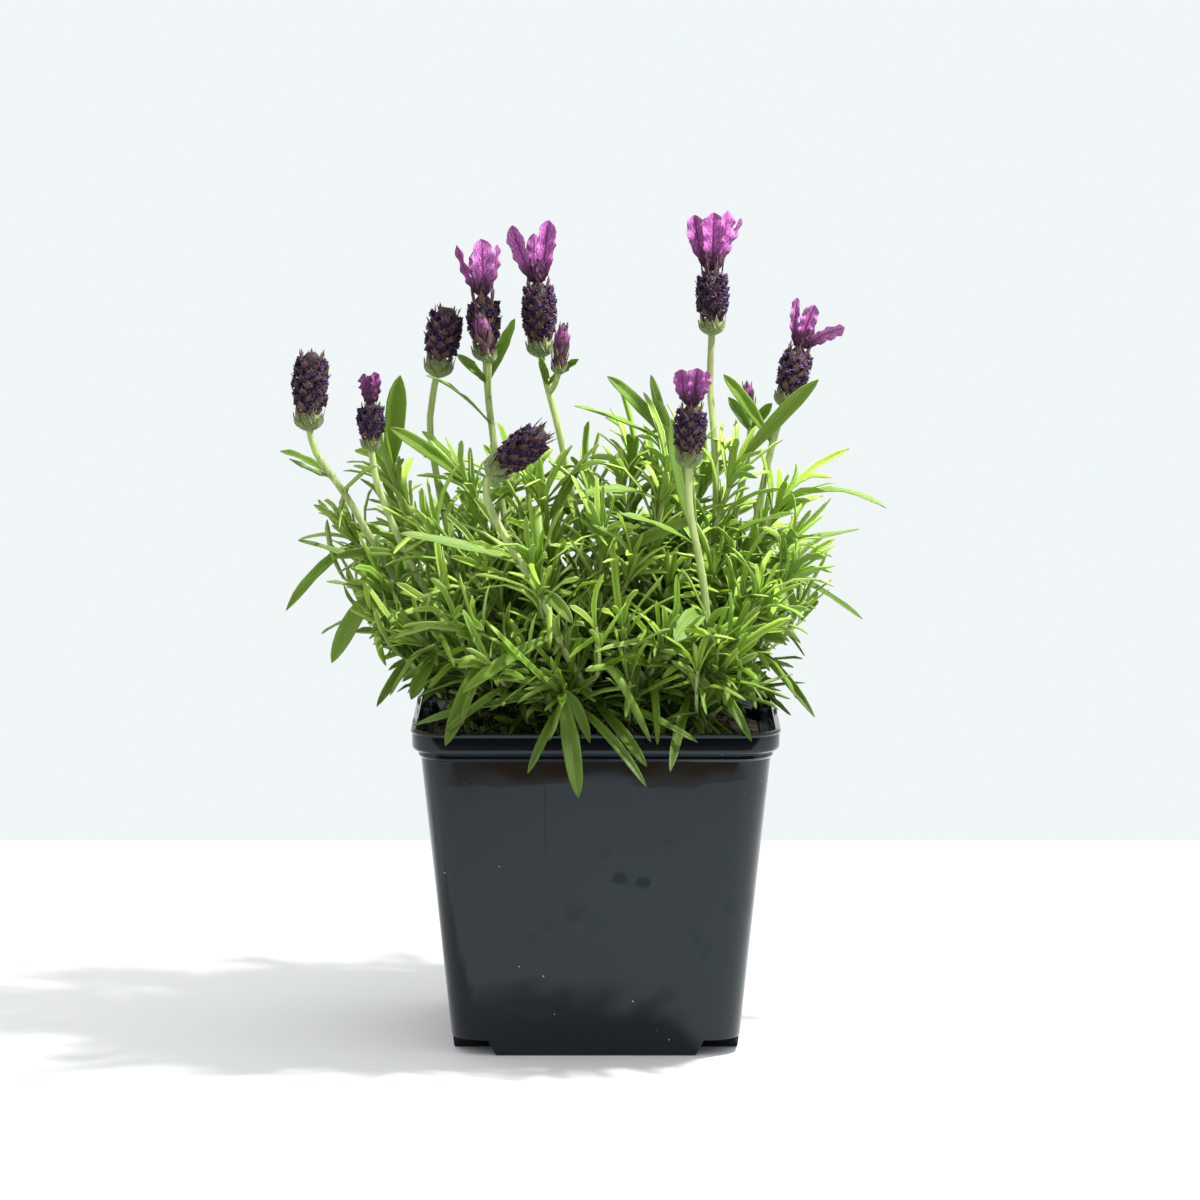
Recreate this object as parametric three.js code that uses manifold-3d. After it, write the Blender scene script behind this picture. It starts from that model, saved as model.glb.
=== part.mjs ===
// A young lavender with cone-shaped flower heads, growing in a square nursery pot.
// Millimetres, +Z up, -Y towards the viewer. The origin is on the ground, under the pot's middle.
import * as THREE from 'three';
import { mergeVertices } from 'three/addons/utils/BufferGeometryUtils.js';
import Module from 'manifold-3d';

const wasm = await Module();
wasm.setup();

// ---------------------------------------------------------------- driving dimensions

const POT = {
  height: 119,
  rimHalf: 65.4,        // half the width of the rim band
  lip: 0.5,             // how far the top edge stands out of the band
  bandHeight: 8,
  ledgeHeight: 2.2,     // thin step under the band
  shoulderHalf: 62.3,   // half the width right under the ledge
  baseHalf: 52,         // half the width at the raised corners
  cornerLift: 5.5,      // how far the corners are raised off the ground
  skirtFace: 51.2,      // half the distance between two opposite skirts, at the ground
  skirtHalf: 36,        // half the width of a skirt at the ground
  skirtFlare: 2.7,      // how much wider a skirt is at the raised corners
  wall: 1.3,
  cornerRadius: 14,
  drainRadius: 3.6,
  drainPlace: 44,
};
const SOIL = { top: 107, mound: 2.6, roughness: 1.3, ringShares: [0.8, 0.56, 0.32], holeDepth: 12 };
const GAP = 0.3;                   // clearance between pieces that rest against each other
const FLOWER_STEM_HALF = 1.2;      // half the side of the square stems
const SHOOT_STEM_HALF = 1.0;
const SHOOT_TAPER = 0.75;
const BRANCH_HALF = 0.9;           // half the side of a side bud's branch
const FORK_SHARE = 0.9;            // where a side bud's branch leaves its stem
const LEAF_THICKNESS = 0.8;
const BRACT_THICKNESS = 0.7;
const BLADE_FOLD = 0.22;           // how far a broad blade's edges stand up, over its half width
const BRACT_TURN = 2;              // how much the bracts turn their broad sides to the front and back
const SCALE_PITCH = { flower: 2.9, bud: 3.6 };   // about how high a tier of a head's scales is
const CORE_SHARE = 0.7;            // a head's core over its radius at the scale tips
const POSES_TRIED = 9;             // poses tried for a leaf before it is left out
const CLOSEST_CORNERS = 0.01;      // closer ones would merge when the shape is stored

// Leaves in pairs, at the oldest and at the youngest part of a stem: how long and how wide they
// are, and how far they lean off the stem (radians). Then the shares of a stem's length that
// carry a pair.
const PAIRS = { length: [30, 18], width: [4.8, 3.4], splay: [1.15, 0.5] };
const PAIR_PLACES = { flowerStem: [0.3, 0.48], shoot: [0.32, 0.52, 0.74, 0.94] };

const GREEN = { fresh: 0x86a838, deep: 0x5f8a2c, stem: 0x93a85c };
const CHARCOAL = 0x33383c;
const EARTH = 0x3a2b20;
const DARK_PURPLE = 0x3c2b45;
const PINK_PURPLE = 0xb45fb4;

// Flower heads. base and top are the ends of the dark body, radius is over the scale tips.
const HEADS = {
  1: { base: [-104, -5, 223], top: [-102.5, -5, 249], radius: 7.2, ragged: 1.5 },
  2: { base: [-81, -15, 216], top: [-81, -15, 232], radius: 4.9, ragged: 1 },
  3: { base: [-57.5, 10, 241], top: [-54, 10, 264], radius: 7.2, ragged: 1.5 },
  4: { base: [-40, 6, 247], top: [-41, 6, 269], radius: 6.6, ragged: 4.5 },
  5: { base: [-38.5, -9, 247], top: [-42, -9, 264], radius: 4.1, ragged: 1, bud: true },
  6: { base: [-20, 1, 249], top: [-21, 1, 274], radius: 6.8, ragged: 2.5 },
  7: { base: [-13.5, -8.5, 243], top: [-11.5, -8.5, 260], radius: 3.8, ragged: 1, bud: true },
  8: { base: [-36.5, -50, 210.5], top: [-18, -50, 225], radius: 6.8, ragged: 3 },
  9: { base: [42, 0, 257], top: [42, 0, 279], radius: 6.4, ragged: 5.5 },
  10: { base: [33, -45, 213.5], top: [34, -45, 234], radius: 6.3, ragged: 2 },
  11: { base: [69, 5, 230], top: [74, 5, 250], radius: 6.2, ragged: 2.5 },
  12: { base: [56, 12, 225], top: [55, 12, 237], radius: 3.2, ragged: 0.8, bud: true },
};

// Ear-like bracts on a head, in its own frame (z along the head, from its top): [x, y, z] of
// the bend and of the tip, then the width.
const CROWNS = {
  2: [
    [[-1.6, -1.2, 5], [-2.2, -1.6, 10.5], 4.2],
    [[1.8, -0.4, 5], [1.4, -0.6, 11], 4],
    [[0.2, 2, 5], [0, 2.4, 9.5], 3.8],
  ],
  4: [
    [[-5, 0.5, 5], [-8.6, 1.2, 18.5], 3.4],
    [[0.5, -3.2, 8], [0.4, -2.4, 20.5], 8.6],
    [[4.8, 1.2, 7], [6, 1.8, 18], 3.2],
    [[-1.2, 4, 7], [-2, 5.5, 16], 6],
  ],
  6: [
    [[-5.4, -1, 9], [-8.4, -1.6, 21], 6.4],
    [[-1.4, 1.6, 8], [-0.6, 3.4, 17.5], 5],
    [[2.6, -1.8, 9], [4.9, -2.4, 22.5], 6.8],
    [[2.4, 4.4, 8], [3.6, 7, 17], 5.4],
  ],
  9: [
    [[-5.6, -1, 9], [-6.4, -0.6, 19.5], 6.6],
    [[0.2, -3.6, 9], [0.4, -3.4, 20.5], 8.2],
    [[4.6, -0.4, 9], [5.4, 0.4, 21], 6.6],
    [[-1.8, 4.2, 8], [-2.4, 5.6, 18], 6.2],
    [[5.4, 3, 8], [10.6, 4, 18], 3.4],
  ],
  10: [
    [[-3.8, -1.2, 6], [-4.2, -1, 12.5], 6],
    [[1, -3, 6], [1.2, -2.8, 13.4], 6],
    [[4, 0.8, 6], [4.6, 1.4, 12], 4.6],
    [[-0.6, 3.4, 6], [-0.8, 4.2, 12], 5],
  ],
  11: [
    [[-4.2, -0.8, 7], [-5.4, -0.6, 17.5], 3.6],
    [[0, -2.4, 8], [1.4, -2.8, 16.5], 6],
    [[6.4, -0.6, 7.4], [14, -0.8, 11], 6.2],
    [[1, 4, 7], [1.4, 6, 14], 5],
  ],
};

// Flowering stems: points from the soil up, then the head that the stem ends in and, on a forked
// stem, the bud on its side branch.
const FLOWER_STEMS = {
  1: { path: [[-37, -4, 107], [-46, -4, 126], [-72, -4, 165], [-90, -5, 196], [-101, -5, 212]], head: 1 },
  2: { path: [[-31, -16, 107], [-40, -16, 128], [-64, -15, 168], [-78, -15, 200]], head: 2 },
  3: { path: [[-26, 12, 107], [-34, 12, 130], [-52, 10, 175], [-60, 10, 215], [-59.5, 10, 231]], head: 3 },
  4: {
    path: [[-17, 3, 107], [-21, 3, 130], [-32, 5, 180], [-38, 5, 222], [-39.6, 6, 238]],
    head: 4,
    side: 5,
  },
  6: {
    path: [[-3, 5, 107], [-2, 5, 130], [-6, 3, 180], [-13, 1, 218], [-18.5, 1, 240]],
    head: 6,
    side: 7,
  },
  8: {
    path: [[4, -36, 107], [2, -42, 121], [-11, -53, 147], [-19, -55, 166], [-30, -52, 184], [-37.6, -50, 198],
      [-38.8, -50, 206]],
    head: 8,
  },
  9: { path: [[31, 5, 107], [35, 5, 130], [43, 2, 180], [43, 0, 215], [41.4, 0, 236]], head: 9 },
  10: { path: [[36, -33, 107], [38, -38, 122], [40, -45, 148], [38, -45, 172], [33.4, -45, 196]], head: 10 },
  11: { path: [[41, 10, 107], [46, 10, 130], [56, 8, 175], [64, 5, 214]], head: 11 },
  12: { path: [[30, 19, 107], [35, 18, 130], [48, 15, 175], [56, 12, 214]], head: 12 },
};

// Leafy shoots: where each one ends. Its root and its bend follow from that.
const SHOOT_ENDS = [
  [-76, 6, 204], [-92, 4, 184], [-79, -12, 164], [-62, -36, 148], [-46, -10, 202],
  [-20, -20, 200], [25, -16, 201], [27, 10, 214], [51, -8, 208], [68, 0, 196],
  [72, -14, 170], [58, -30, 156], [44, -54, 140], [25, -58, 150], [-12, -62, 134],
  [-40, -52, 148], [-22, -44, 176], [2, -38, 188], [-58, -18, 184], [14, 28, 206],
  [-34, 36, 198], [-66, 40, 172], [-30, 60, 158], [8, 66, 162], [44, 50, 176],
  [70, 34, 164], [-88, 26, 150], [40, 24, 200],
];

// Single large leaves that stand out of the bush: a point near the root, the tip, the width,
// how high the leaf arches, and whether its broad side looks to the front or up.
const LARGE_LEAVES = [
  [[-76, 6, 202], [-71, 5, 240], 8.5, 1, 'front'],
  [[-34, -10, 221], [-61, -20, 242], 5.5, 5, 'up'],
  [[-45, -15, 203], [-74, -26, 224], 5.5, 3, 'front'],
  [[-89, 0, 209], [-115, 6, 212], 3.5, 3, 'up'],
  [[-88, -5, 208], [-111, -10, 211], 3.5, -2, 'up'],
  [[-91, 0, 177], [-113, 0, 154], 4.4, 6, 'front'],
  [[-82, -5, 162], [-96, -8, 136], 7.4, 6, 'front'],
  [[-36, -55, 173], [-69, -70, 191], 6, 2, 'up'],
  [[-63, -20, 141], [-79, -28, 123], 5, 4, 'front'],
  [[-18, -55, 133], [-65, -66, 122], 4.6, 4, 'up'],
  [[-44, -62, 131], [-53, -74, 116], 7, 3, 'front'],
  [[-21, -60, 150], [-47, -74, 135], 5, 4, 'front'],
  [[-56, -30, 148], [-66, -44, 128], 6, 3, 'front'],
  [[-11, -65, 134], [-6, -78, 98], 7.6, 4, 'front'],
  [[-7, -62, 116], [-2, -76, 88], 4, 5, 'front'],
  [[-5, -60, 117], [18, -76, 103], 4, 4, 'front'],
  [[8, -62, 125], [18, -80, 110], 5, 3, 'front'],
  [[26, -60, 123], [26, -78, 108], 4.4, 3, 'front'],
  [[5, -60, 126], [36, -76, 118], 4, 3, 'up'],
  [[-11, -60, 120], [-24, -77, 107], 4, 3, 'front'],
  [[42, -55, 161], [28, -68, 152], 8.6, 5, 'front'],
  [[-18, -55, 171], [-8, -70, 159], 5, 4, 'front'],
  [[63, 0, 195], [105, -12, 193], 3.6, 12, 'up'],
  [[65, 0, 178], [96, 2, 184], 3.2, -3, 'up'],
  [[67, 0, 167], [97, -8, 152], 3.2, 6, 'up'],
  [[60, -15, 140], [79, -28, 119], 4, 6, 'front'],
  [[29, 0, 218], [-8, -17, 231], 4.4, 2, 'up'],
  [[25, 10, 219], [4, 2, 240], 5, 4, 'front'],
  [[27, 10, 212], [20, 17, 239], 4, 1, 'front'],
  [[51, -10, 210], [80, -22, 241], 6, 3, 'front'],
  [[58, 5, 216], [46, -3, 241], 5, 3, 'front'],
  [[-18, -20, 195], [4, -32, 212], 4.6, 8, 'up'],
  [[23, -20, 195], [-10, -34, 198], 5, 9, 'up'],
  [[37, -45, 184], [8, -62, 197], 4.6, 3, 'up'],
  [[62, -10, 178], [72, -20, 154], 7, 5, 'front'],
  [[53, -20, 154], [68, -32, 147], 5, 3, 'front'],
  [[37, -58, 134], [55, -70, 117], 4, 3, 'front'],
  [[-2, -62, 141], [-2, -74, 116], 5, 4, 'front'],
  [[34, -35, 183], [27, -32, 228], 7.6, 0, 'front'],
  [[-4, -20, 190], [-5, -24, 211], 4, 0, 'front'],
  [[16, -30, 177], [36, -42, 193], 5, 3, 'front'],
  [[50, -25, 176], [71, -34, 194], 4, 3, 'up'],
  [[-67, -5, 173], [-108, -8, 181], 3.2, 2, 'up'],
  [[-73, -15, 160], [-97, -24, 168], 3.2, 2, 'up'],
  [[-72, -20, 175], [-94, -34, 178], 4, 3, 'front'],
  [[-39, 4, 238], [-50, -12, 249], 4.2, 1, 'front'],
  [[-38, 4, 238], [-29, -13, 262], 4.8, 1, 'front'],
  [[-17, 0, 236], [-20, -14, 248], 3.4, 1, 'front'],
  [[-16, 0, 236], [-6, -12, 247], 3.4, 1, 'front'],
  [[56, 12, 219], [48, 4, 232], 4.2, 1, 'front'],
  [[56, 12, 219], [64, 4, 230], 4.2, 1, 'front'],
];
const FACING = { front: [0, -1, 0.3], up: [0, -0.45, 1] };

// ---------------------------------------------------------------- helpers

const point = (list) => new THREE.Vector3(...list);
const along = (start, direction, distance) => start.clone().addScaledVector(direction, distance);

// A repeatable draw between 0 and 1 for a stem, a level on it, a leaf and a purpose.
function draw(stem, level, leaf, purpose) {
  let h = Math.imul(stem + 1, 0x9e3779b1) ^ Math.imul(level + 1, 0x85ebca77);
  h ^= Math.imul(leaf + 1, 0xc2b2ae3d) ^ Math.imul(purpose + 1, 0x27d4eb2f);
  h = Math.imul(h ^ (h >>> 15), 0x2c1b3c6d);
  h = Math.imul(h ^ (h >>> 12), 0x297a2d39);
  return ((h ^ (h >>> 15)) >>> 0) / 4294967296;
}

function solid(geometry) {
  geometry.deleteAttribute('normal');
  geometry.deleteAttribute('uv');
  const merged = mergeVertices(geometry);
  return new wasm.Manifold(new wasm.Mesh({
    numProp: 3,
    vertProperties: Float32Array.from(merged.attributes.position.array),
    triVerts: Uint32Array.from(merged.index.array),
  }));
}

// A closed body stretched over rings of points. Every ring runs counter-clockwise as seen from
// the next one; a last ring of one point is a tip. From the column folded on, the quads are
// split the other way, so that both faces of a thin blade have their diagonals alike.
function skin(rings, folded = Infinity) {
  const count = rings[0].length;
  const positions = rings.flat().flatMap((p) => [p.x, p.y, p.z]);
  const triangles = [];
  for (let k = 1; k < count - 1; k++) triangles.push(0, k + 1, k);
  for (let i = 0; i < rings.length - 1; i++) {
    for (let j = 0; j < count; j++) {
      const a = i * count + j;
      const b = i * count + (j + 1) % count;
      const c = b + count;
      const d = a + count;
      if (rings[i + 1].length === 1) triangles.push(a, b, (i + 1) * count);
      else if (j >= folded) triangles.push(a, b, d, b, c, d);
      else triangles.push(a, b, c, a, c, d);
    }
  }
  const last = rings.length - 1;
  if (rings[last].length > 1) {
    for (let k = 1; k < count - 1; k++) triangles.push(last * count, last * count + k, last * count + k + 1);
  }
  const geometry = new THREE.BufferGeometry();
  geometry.setAttribute('position', new THREE.Float32BufferAttribute(positions, 3));
  geometry.setIndex(triangles);
  return solid(geometry);
}

const join = (solids) => solids.reduce((whole, piece) => whole.add(piece));

// Whether a body is one piece without two corners that all but coincide.
function isSound(body) {
  const { vertProperties: corners, numVert } = body.getMesh();
  for (let a = 0; a < numVert; a++) {
    for (let b = a + 1; b < numVert; b++) {
      const distance = Math.hypot(corners[3 * a] - corners[3 * b], corners[3 * a + 1] - corners[3 * b + 1],
        corners[3 * a + 2] - corners[3 * b + 2]);
      if (distance < CLOSEST_CORNERS) return false;
    }
  }
  return body.decompose().length === 1;
}

// The first sound body that make gives for a small turn that grows until one is found.
function firstSound(make) {
  for (let turn = 0; turn < 1.5; turn += 0.04) {
    const body = make(turn);
    if (isSound(body)) return body;
  }
  throw new Error('no sound body found');
}

function boxOf(body) {
  const { min, max } = body.boundingBox();
  return new THREE.Box3(point(min), point(max));
}

// ---------------------------------------------------------------- pot

// A level square with round corners.
function roundedSquare(half, radius, z, perCorner = 4) {
  const outline = [];
  for (let corner = 0; corner < 4; corner++) {
    for (let k = 0; k <= perCorner; k++) {
      const angle = (corner + k / perCorner) * Math.PI / 2;
      const quadrant = (corner + 0.5) * Math.PI / 2;
      outline.push(new THREE.Vector3(
        Math.sign(Math.cos(quadrant)) * (half - radius) + radius * Math.cos(angle),
        Math.sign(Math.sin(quadrant)) * (half - radius) + radius * Math.sin(angle), z));
    }
  }
  return outline;
}

const rectangle = (halfX, halfY, z) => [
  new THREE.Vector3(halfX, halfY, z), new THREE.Vector3(-halfX, halfY, z),
  new THREE.Vector3(-halfX, -halfY, z), new THREE.Vector3(halfX, -halfY, z),
];

const cornerAt = (half) => POT.cornerRadius * half / POT.rimHalf;
const potRing = (half, z, perCorner) => roundedSquare(half, cornerAt(half), z, perCorner);

// The two crossing troughs of the lowered floor, inset from the skirts' outside by inset.
function loweredFloor(inset, bottom) {
  const top = POT.cornerLift + 1.6;
  const face = POT.skirtFace - inset;
  const flare = POT.skirtFlare * (top - bottom) / POT.cornerLift;
  const half = POT.skirtHalf - inset;
  const lean = 0.6;
  const trough = (turned) => {
    const ring = (f, h, z) => (turned ? rectangle(h, f, z) : rectangle(f, h, z));
    return skin([ring(face, half, bottom), ring(face + lean, half + flare, top)]);
  };
  return trough(false).add(trough(true));
}

// Half the pot's inside width at a height on the tapered wall, less a clearance.
function insideHalf(z, clearance) {
  const share = (z - POT.cornerLift) / (POT.height - POT.bandHeight - POT.ledgeHeight - POT.cornerLift);
  return POT.baseHalf + (POT.shoulderHalf - POT.baseHalf) * share - POT.wall - clearance;
}

function makePot() {
  const bandBottom = POT.height - POT.bandHeight;
  const ledgeBottom = bandBottom - POT.ledgeHeight;
  const outside = skin([
    potRing(POT.baseHalf - 0.7, POT.cornerLift),
    potRing(POT.baseHalf, POT.cornerLift + 1.2),
    potRing(POT.shoulderHalf, ledgeBottom),
    potRing(POT.shoulderHalf + 0.8, ledgeBottom + 0.5),
    potRing(POT.shoulderHalf + 0.9, bandBottom),
    potRing(POT.rimHalf - 0.5, bandBottom + 0.9),
    potRing(POT.rimHalf, bandBottom + 2),
    potRing(POT.rimHalf + 0.1, POT.height - 1.3),
    potRing(POT.rimHalf + POT.lip, POT.height - 0.6),
    potRing(POT.rimHalf + POT.lip - 0.2, POT.height),
  ]).add(loweredFloor(0, 0));
  const floor = POT.cornerLift + POT.wall;
  const inside = skin([
    potRing(insideHalf(floor, 0), floor),
    potRing(insideHalf(ledgeBottom, 0), ledgeBottom + 0.6),
    potRing(POT.rimHalf - POT.wall - 0.3, bandBottom + 1.6),
    potRing(POT.rimHalf - POT.wall + 0.2, POT.height + 1),
  ]).add(loweredFloor(POT.wall, POT.wall + 0.1));
  const drains = [[1, 1], [-1, 1], [-1, -1], [1, -1]].map(([x, y]) => {
    const drill = new THREE.CylinderGeometry(POT.drainRadius, POT.drainRadius, 6, 10);
    drill.rotateX(Math.PI / 2);
    drill.translate(x * POT.drainPlace, y * POT.drainPlace, floor);
    return solid(drill);
  });
  return outside.subtract(inside).subtract(join(drains));
}

// ---------------------------------------------------------------- stems

// The curve of a stem, with its first stretch straight down into the soil.
function stemPath(points) {
  const direction = points[0].clone().sub(points[1]).normalize();
  const foot = along(points[0], direction, SOIL.holeDepth - 1);
  return new THREE.CatmullRomCurve3([foot, ...points], false, 'catmullrom', 0.5);
}

// Where a stem is at a share of its length, and the two directions its flat sides face there.
function stemFrame(path, share, spin) {
  const centre = path.getPointAt(share);
  const axis = path.getTangentAt(share);
  const across = new THREE.Vector3(1, 0, 0).addScaledVector(axis, -axis.x).normalize();
  const second = new THREE.Vector3().crossVectors(axis, across);
  across.applyAxisAngle(axis, spin);
  second.applyAxisAngle(axis, spin);
  return { centre, axis, first: across, second };
}

// A square stem that tapers from half to half * taper, as the stems of this family are.
function stemSolid(path, half, taper, spin, steps) {
  const rings = [];
  for (let step = 0; step <= steps; step++) {
    const { centre, first, second } = stemFrame(path, step / steps, spin);
    const reach = half * THREE.MathUtils.lerp(1, taper, step / steps);
    rings.push([[1, 1], [-1, 1], [-1, -1], [1, -1]].map(([a, b]) => along(along(centre, first, a * reach),
      second, b * reach)));
  }
  return skin(rings);
}

// The short branch from a stem's last node to a side bud.
function sideBranch(path, base, turn) {
  const fork = path.getPointAt(FORK_SHARE);
  const middle = fork.clone().lerp(base, 0.8).setZ(fork.z + (base.z - fork.z) * 0.35);
  return stemSolid(new THREE.QuadraticBezierCurve3(fork, middle, base), BRANCH_HALF, 1, turn, 4);
}

// The hole in the soil that a stem stands in.
function stemHole(stem) {
  const [foot, root] = stem.path.points;
  const direction = root.clone().sub(foot).normalize();
  const line = new THREE.LineCurve3(along(foot, direction, -GAP), along(root, direction, 7));
  return stemSolid(line, stem.half + GAP + 0.1, 1, stem.spin, 1);
}

// The route of a leafy shoot to its end: steep at the root, leaning outwards higher up.
function shootPoints(end) {
  const root = new THREE.Vector3(
    THREE.MathUtils.clamp(end.x * 0.5, -47, 47), THREE.MathUtils.clamp(end.y * 0.58, -46, 46), SOIL.top);
  const rise = end.z - SOIL.top;
  const low = root.clone().lerp(end, 0.2).setZ(SOIL.top + rise * 0.3 + 5);
  const high = root.clone().lerp(end, 0.62).setZ(SOIL.top + rise * 0.68 + 4);
  return [root, low, high, end];
}

// ---------------------------------------------------------------- leaves

// Share of a leaf's full width at a share of its length: narrow root, slender oval, blunt tip.
const leafShare = (t, root = 0.2) => 1.1 * (1 - t ** 3.5)
  * (root + (1 - root) * Math.sin(Math.PI / 2 * Math.min(1, t / 0.55)));

// The same for a bract: a claw at the root, widest past the middle, a round end.
const bractShare = (t) => 1.08 * (1 - t ** 7)
  * (0.2 + 0.8 * Math.sin(Math.PI / 2 * Math.min(1, t / 0.68)) ** 1.3);

// A leaf's or bract's solid. side is its rough sideways direction, margin makes it larger all
// round, from leaves out the part near the root. Broad ones are folded a little along the rib.
function bladeSolid(blade, margin = 0, from = 0) {
  const curve = new THREE.QuadraticBezierCurve3(blade.root, blade.bend, blade.tip);
  const stations = blade.long ? [0, 0.28, 0.56, 0.82] : [0, 0.52];
  const rings = stations.map((station) => {
    const t = from + (1 - from) * station;
    const tangent = curve.getTangent(t);
    const side = blade.side.clone().addScaledVector(tangent, -blade.side.dot(tangent)).normalize();
    const face = new THREE.Vector3().crossVectors(tangent, side);
    const share = blade.bract ? bractShare(t) : leafShare(t, blade.rootShare);
    const half = blade.width / 2 * share + margin;
    const centre = curve.getPoint(t);
    const at = (sideways, up) => along(along(centre, side, sideways), face, up);
    if (!blade.broad) return [at(-half, margin), at(0, -LEAF_THICKNESS - margin), at(half, margin)];
    const fold = half * BLADE_FOLD;
    const thickness = (blade.bract ? BRACT_THICKNESS : LEAF_THICKNESS) / 2;
    return [at(-half, fold), at(0, -thickness - margin), at(half, fold), at(0, thickness + margin)];
  });
  rings.push([along(blade.tip, curve.getTangent(1), margin)]);
  return skin(rings, 2);
}

// Everything placed so far, for finding room for the next leaf.
const placed = [];

function place(node, body) {
  placed.push({ node, body, box: boxOf(body) });
}

function isClear(node, blade) {
  const grown = bladeSolid(blade, GAP);
  const outer = bladeSolid(blade, 0, 0.35);
  const box = boxOf(grown);
  return placed.every((other) => {
    if (!other.box.intersectsBox(box)) return true;
    const probe = other.node === node ? outer : grown;
    return probe.intersect(other.body).isEmpty();
  });
}

// Fuses the first of a leaf's possible poses that is clear of everything else to its stem.
function placeLeaf(stem, poses) {
  for (const pose of poses.filter((blade) => isClear(stem.name, blade))) {
    const leaf = bladeSolid(pose);
    const joined = stem.body.add(leaf);
    if (!isSound(joined)) continue;
    stem.body = joined;
    place(stem.name, leaf);
    return;
  }
}

// A leaf springing from a stem: azimuth turns it round the stem, splay leans it away from it.
function leafOnStem(stem, share, azimuth, splay, length, width) {
  const { centre: root, axis, first, second } = stemFrame(stem.path, share, stem.spin);
  const outward = first.clone().multiplyScalar(Math.cos(azimuth)).addScaledVector(second, Math.sin(azimuth));
  const reach = (angle, distance) => along(along(root, axis, Math.cos(angle) * distance),
    outward, Math.sin(angle) * distance);
  const bend = reach(splay * 0.75, length * 0.5);
  const tip = reach(splay * 1.15, length);
  tip.z -= length * 0.1;
  return { root, bend, tip, width, side: new THREE.Vector3().crossVectors(outward, axis).negate() };
}

// The poses tried for one leaf of a pair: as drawn first, then turned, lifted and shortened.
function leafPoses(stem, level, leaf, share, youth) {
  const random = (purpose) => draw(stem.seed, level, leaf, purpose);
  const azimuth = level * Math.PI / 2 + leaf * Math.PI + (random(0) - 0.5) * 0.4;
  const splay = THREE.MathUtils.lerp(...PAIRS.splay, youth) + (random(1) - 0.5) * 0.35;
  const length = THREE.MathUtils.lerp(...PAIRS.length, youth) * (0.85 + 0.3 * random(2));
  const width = THREE.MathUtils.lerp(...PAIRS.width, youth) * (0.85 + 0.3 * random(3));
  const poses = [];
  for (let attempt = 0; attempt < POSES_TRIED; attempt++) {
    const turn = 0.17 * Math.ceil(attempt / 2) * (attempt % 2 ? 1 : -1);
    const lift = 0.06 * attempt * (attempt % 2 ? -1 : 1);
    poses.push(leafOnStem(stem, share, azimuth + turn, splay + lift, length * (1 - 0.045 * attempt), width));
  }
  return poses;
}

// Opposite pairs of leaves up a stem, each pair at right angles to the one below.
function leafPairs(stem, shares) {
  shares.forEach((share, level) => {
    const youth = stem.youthFrom + (1 - stem.youthFrom) * share;
    for (let leaf = 0; leaf < 2; leaf++) placeLeaf(stem, leafPoses(stem, level, leaf, share, youth));
  });
}

// ---------------------------------------------------------------- flower heads

// Turns a body built along +Z from the origin onto a base point and an axis.
function stand(body, base, axis) {
  const turn = new THREE.Quaternion().setFromUnitVectors(new THREE.Vector3(0, 0, 1), axis);
  const matrix = new THREE.Matrix4().compose(base, turn, new THREE.Vector3(1, 1, 1));
  return body.transform(matrix.elements);
}

// One level of points round an axis. shape gives [radius, height] for even and odd columns.
function level(columns, shape, turn = 0) {
  return Array.from({ length: columns }, (_, column) => {
    const [radius, z] = shape(column % 2);
    const angle = column / columns * Math.PI * 2 + turn;
    return new THREE.Vector3(radius * Math.cos(angle), radius * Math.sin(angle), z);
  });
}

const headColumns = (head) => (head.bud ? 8 : 10);

// The cup of pointed green bracts under a head, open at the top.
function cupSolid(head, turn) {
  const r = head.radius;
  const deep = r * 0.62;
  return skin([
    level(headColumns(head), () => [1.5, -r * 0.47], turn),
    level(headColumns(head), () => [r * 0.66, r * 0.1], turn),
    level(headColumns(head), (odd) => (odd ? [r * 0.8, deep * 0.7] : [r * 0.95, deep * 1.35]), turn),
    level(headColumns(head), () => [r * 0.42, r * 0.24], turn),
  ]);
}

// A head: a slim core covered with tiers of pointed scales, each tier turned half a step.
function headSolid(head, length) {
  const columns = headColumns(head);
  const r = head.radius;
  const foot = r * 0.24 + GAP;
  const start = foot + r * 0.66;
  const tierHeight = head.bud ? SCALE_PITCH.bud : SCALE_PITCH.flower;
  const tiers = Math.max(3, Math.round((length - start) / tierHeight));
  const pitch = (length - start) / tiers;
  const rings = [level(columns, () => [r * 0.32, foot])];
  for (let tier = 0; tier < tiers; tier++) {
    const share = (tier + 0.5) / tiers;
    const swell = 0.84 + 0.16 * Math.sin(Math.PI * share) - (head.bud ? 0.5 * share ** 2 : 0.12 * share ** 3);
    const core = r * swell * CORE_SHARE;
    const last = tier === tiers - 1;
    const lift = last ? head.ragged : pitch * 0.25;
    const z = start + tier * pitch;
    rings.push(level(columns, () => [core, z]));
    rings.push(level(columns, (odd) => (odd === tier % 2
      ? [r * swell * (last && !head.bud ? 0.9 : 1), z + pitch * 0.7 + lift]
      : [core * 1.02, z + pitch * 0.62])));
  }
  rings.push(level(columns, () => [r * 0.3, length]));
  return skin(rings);
}

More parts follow.
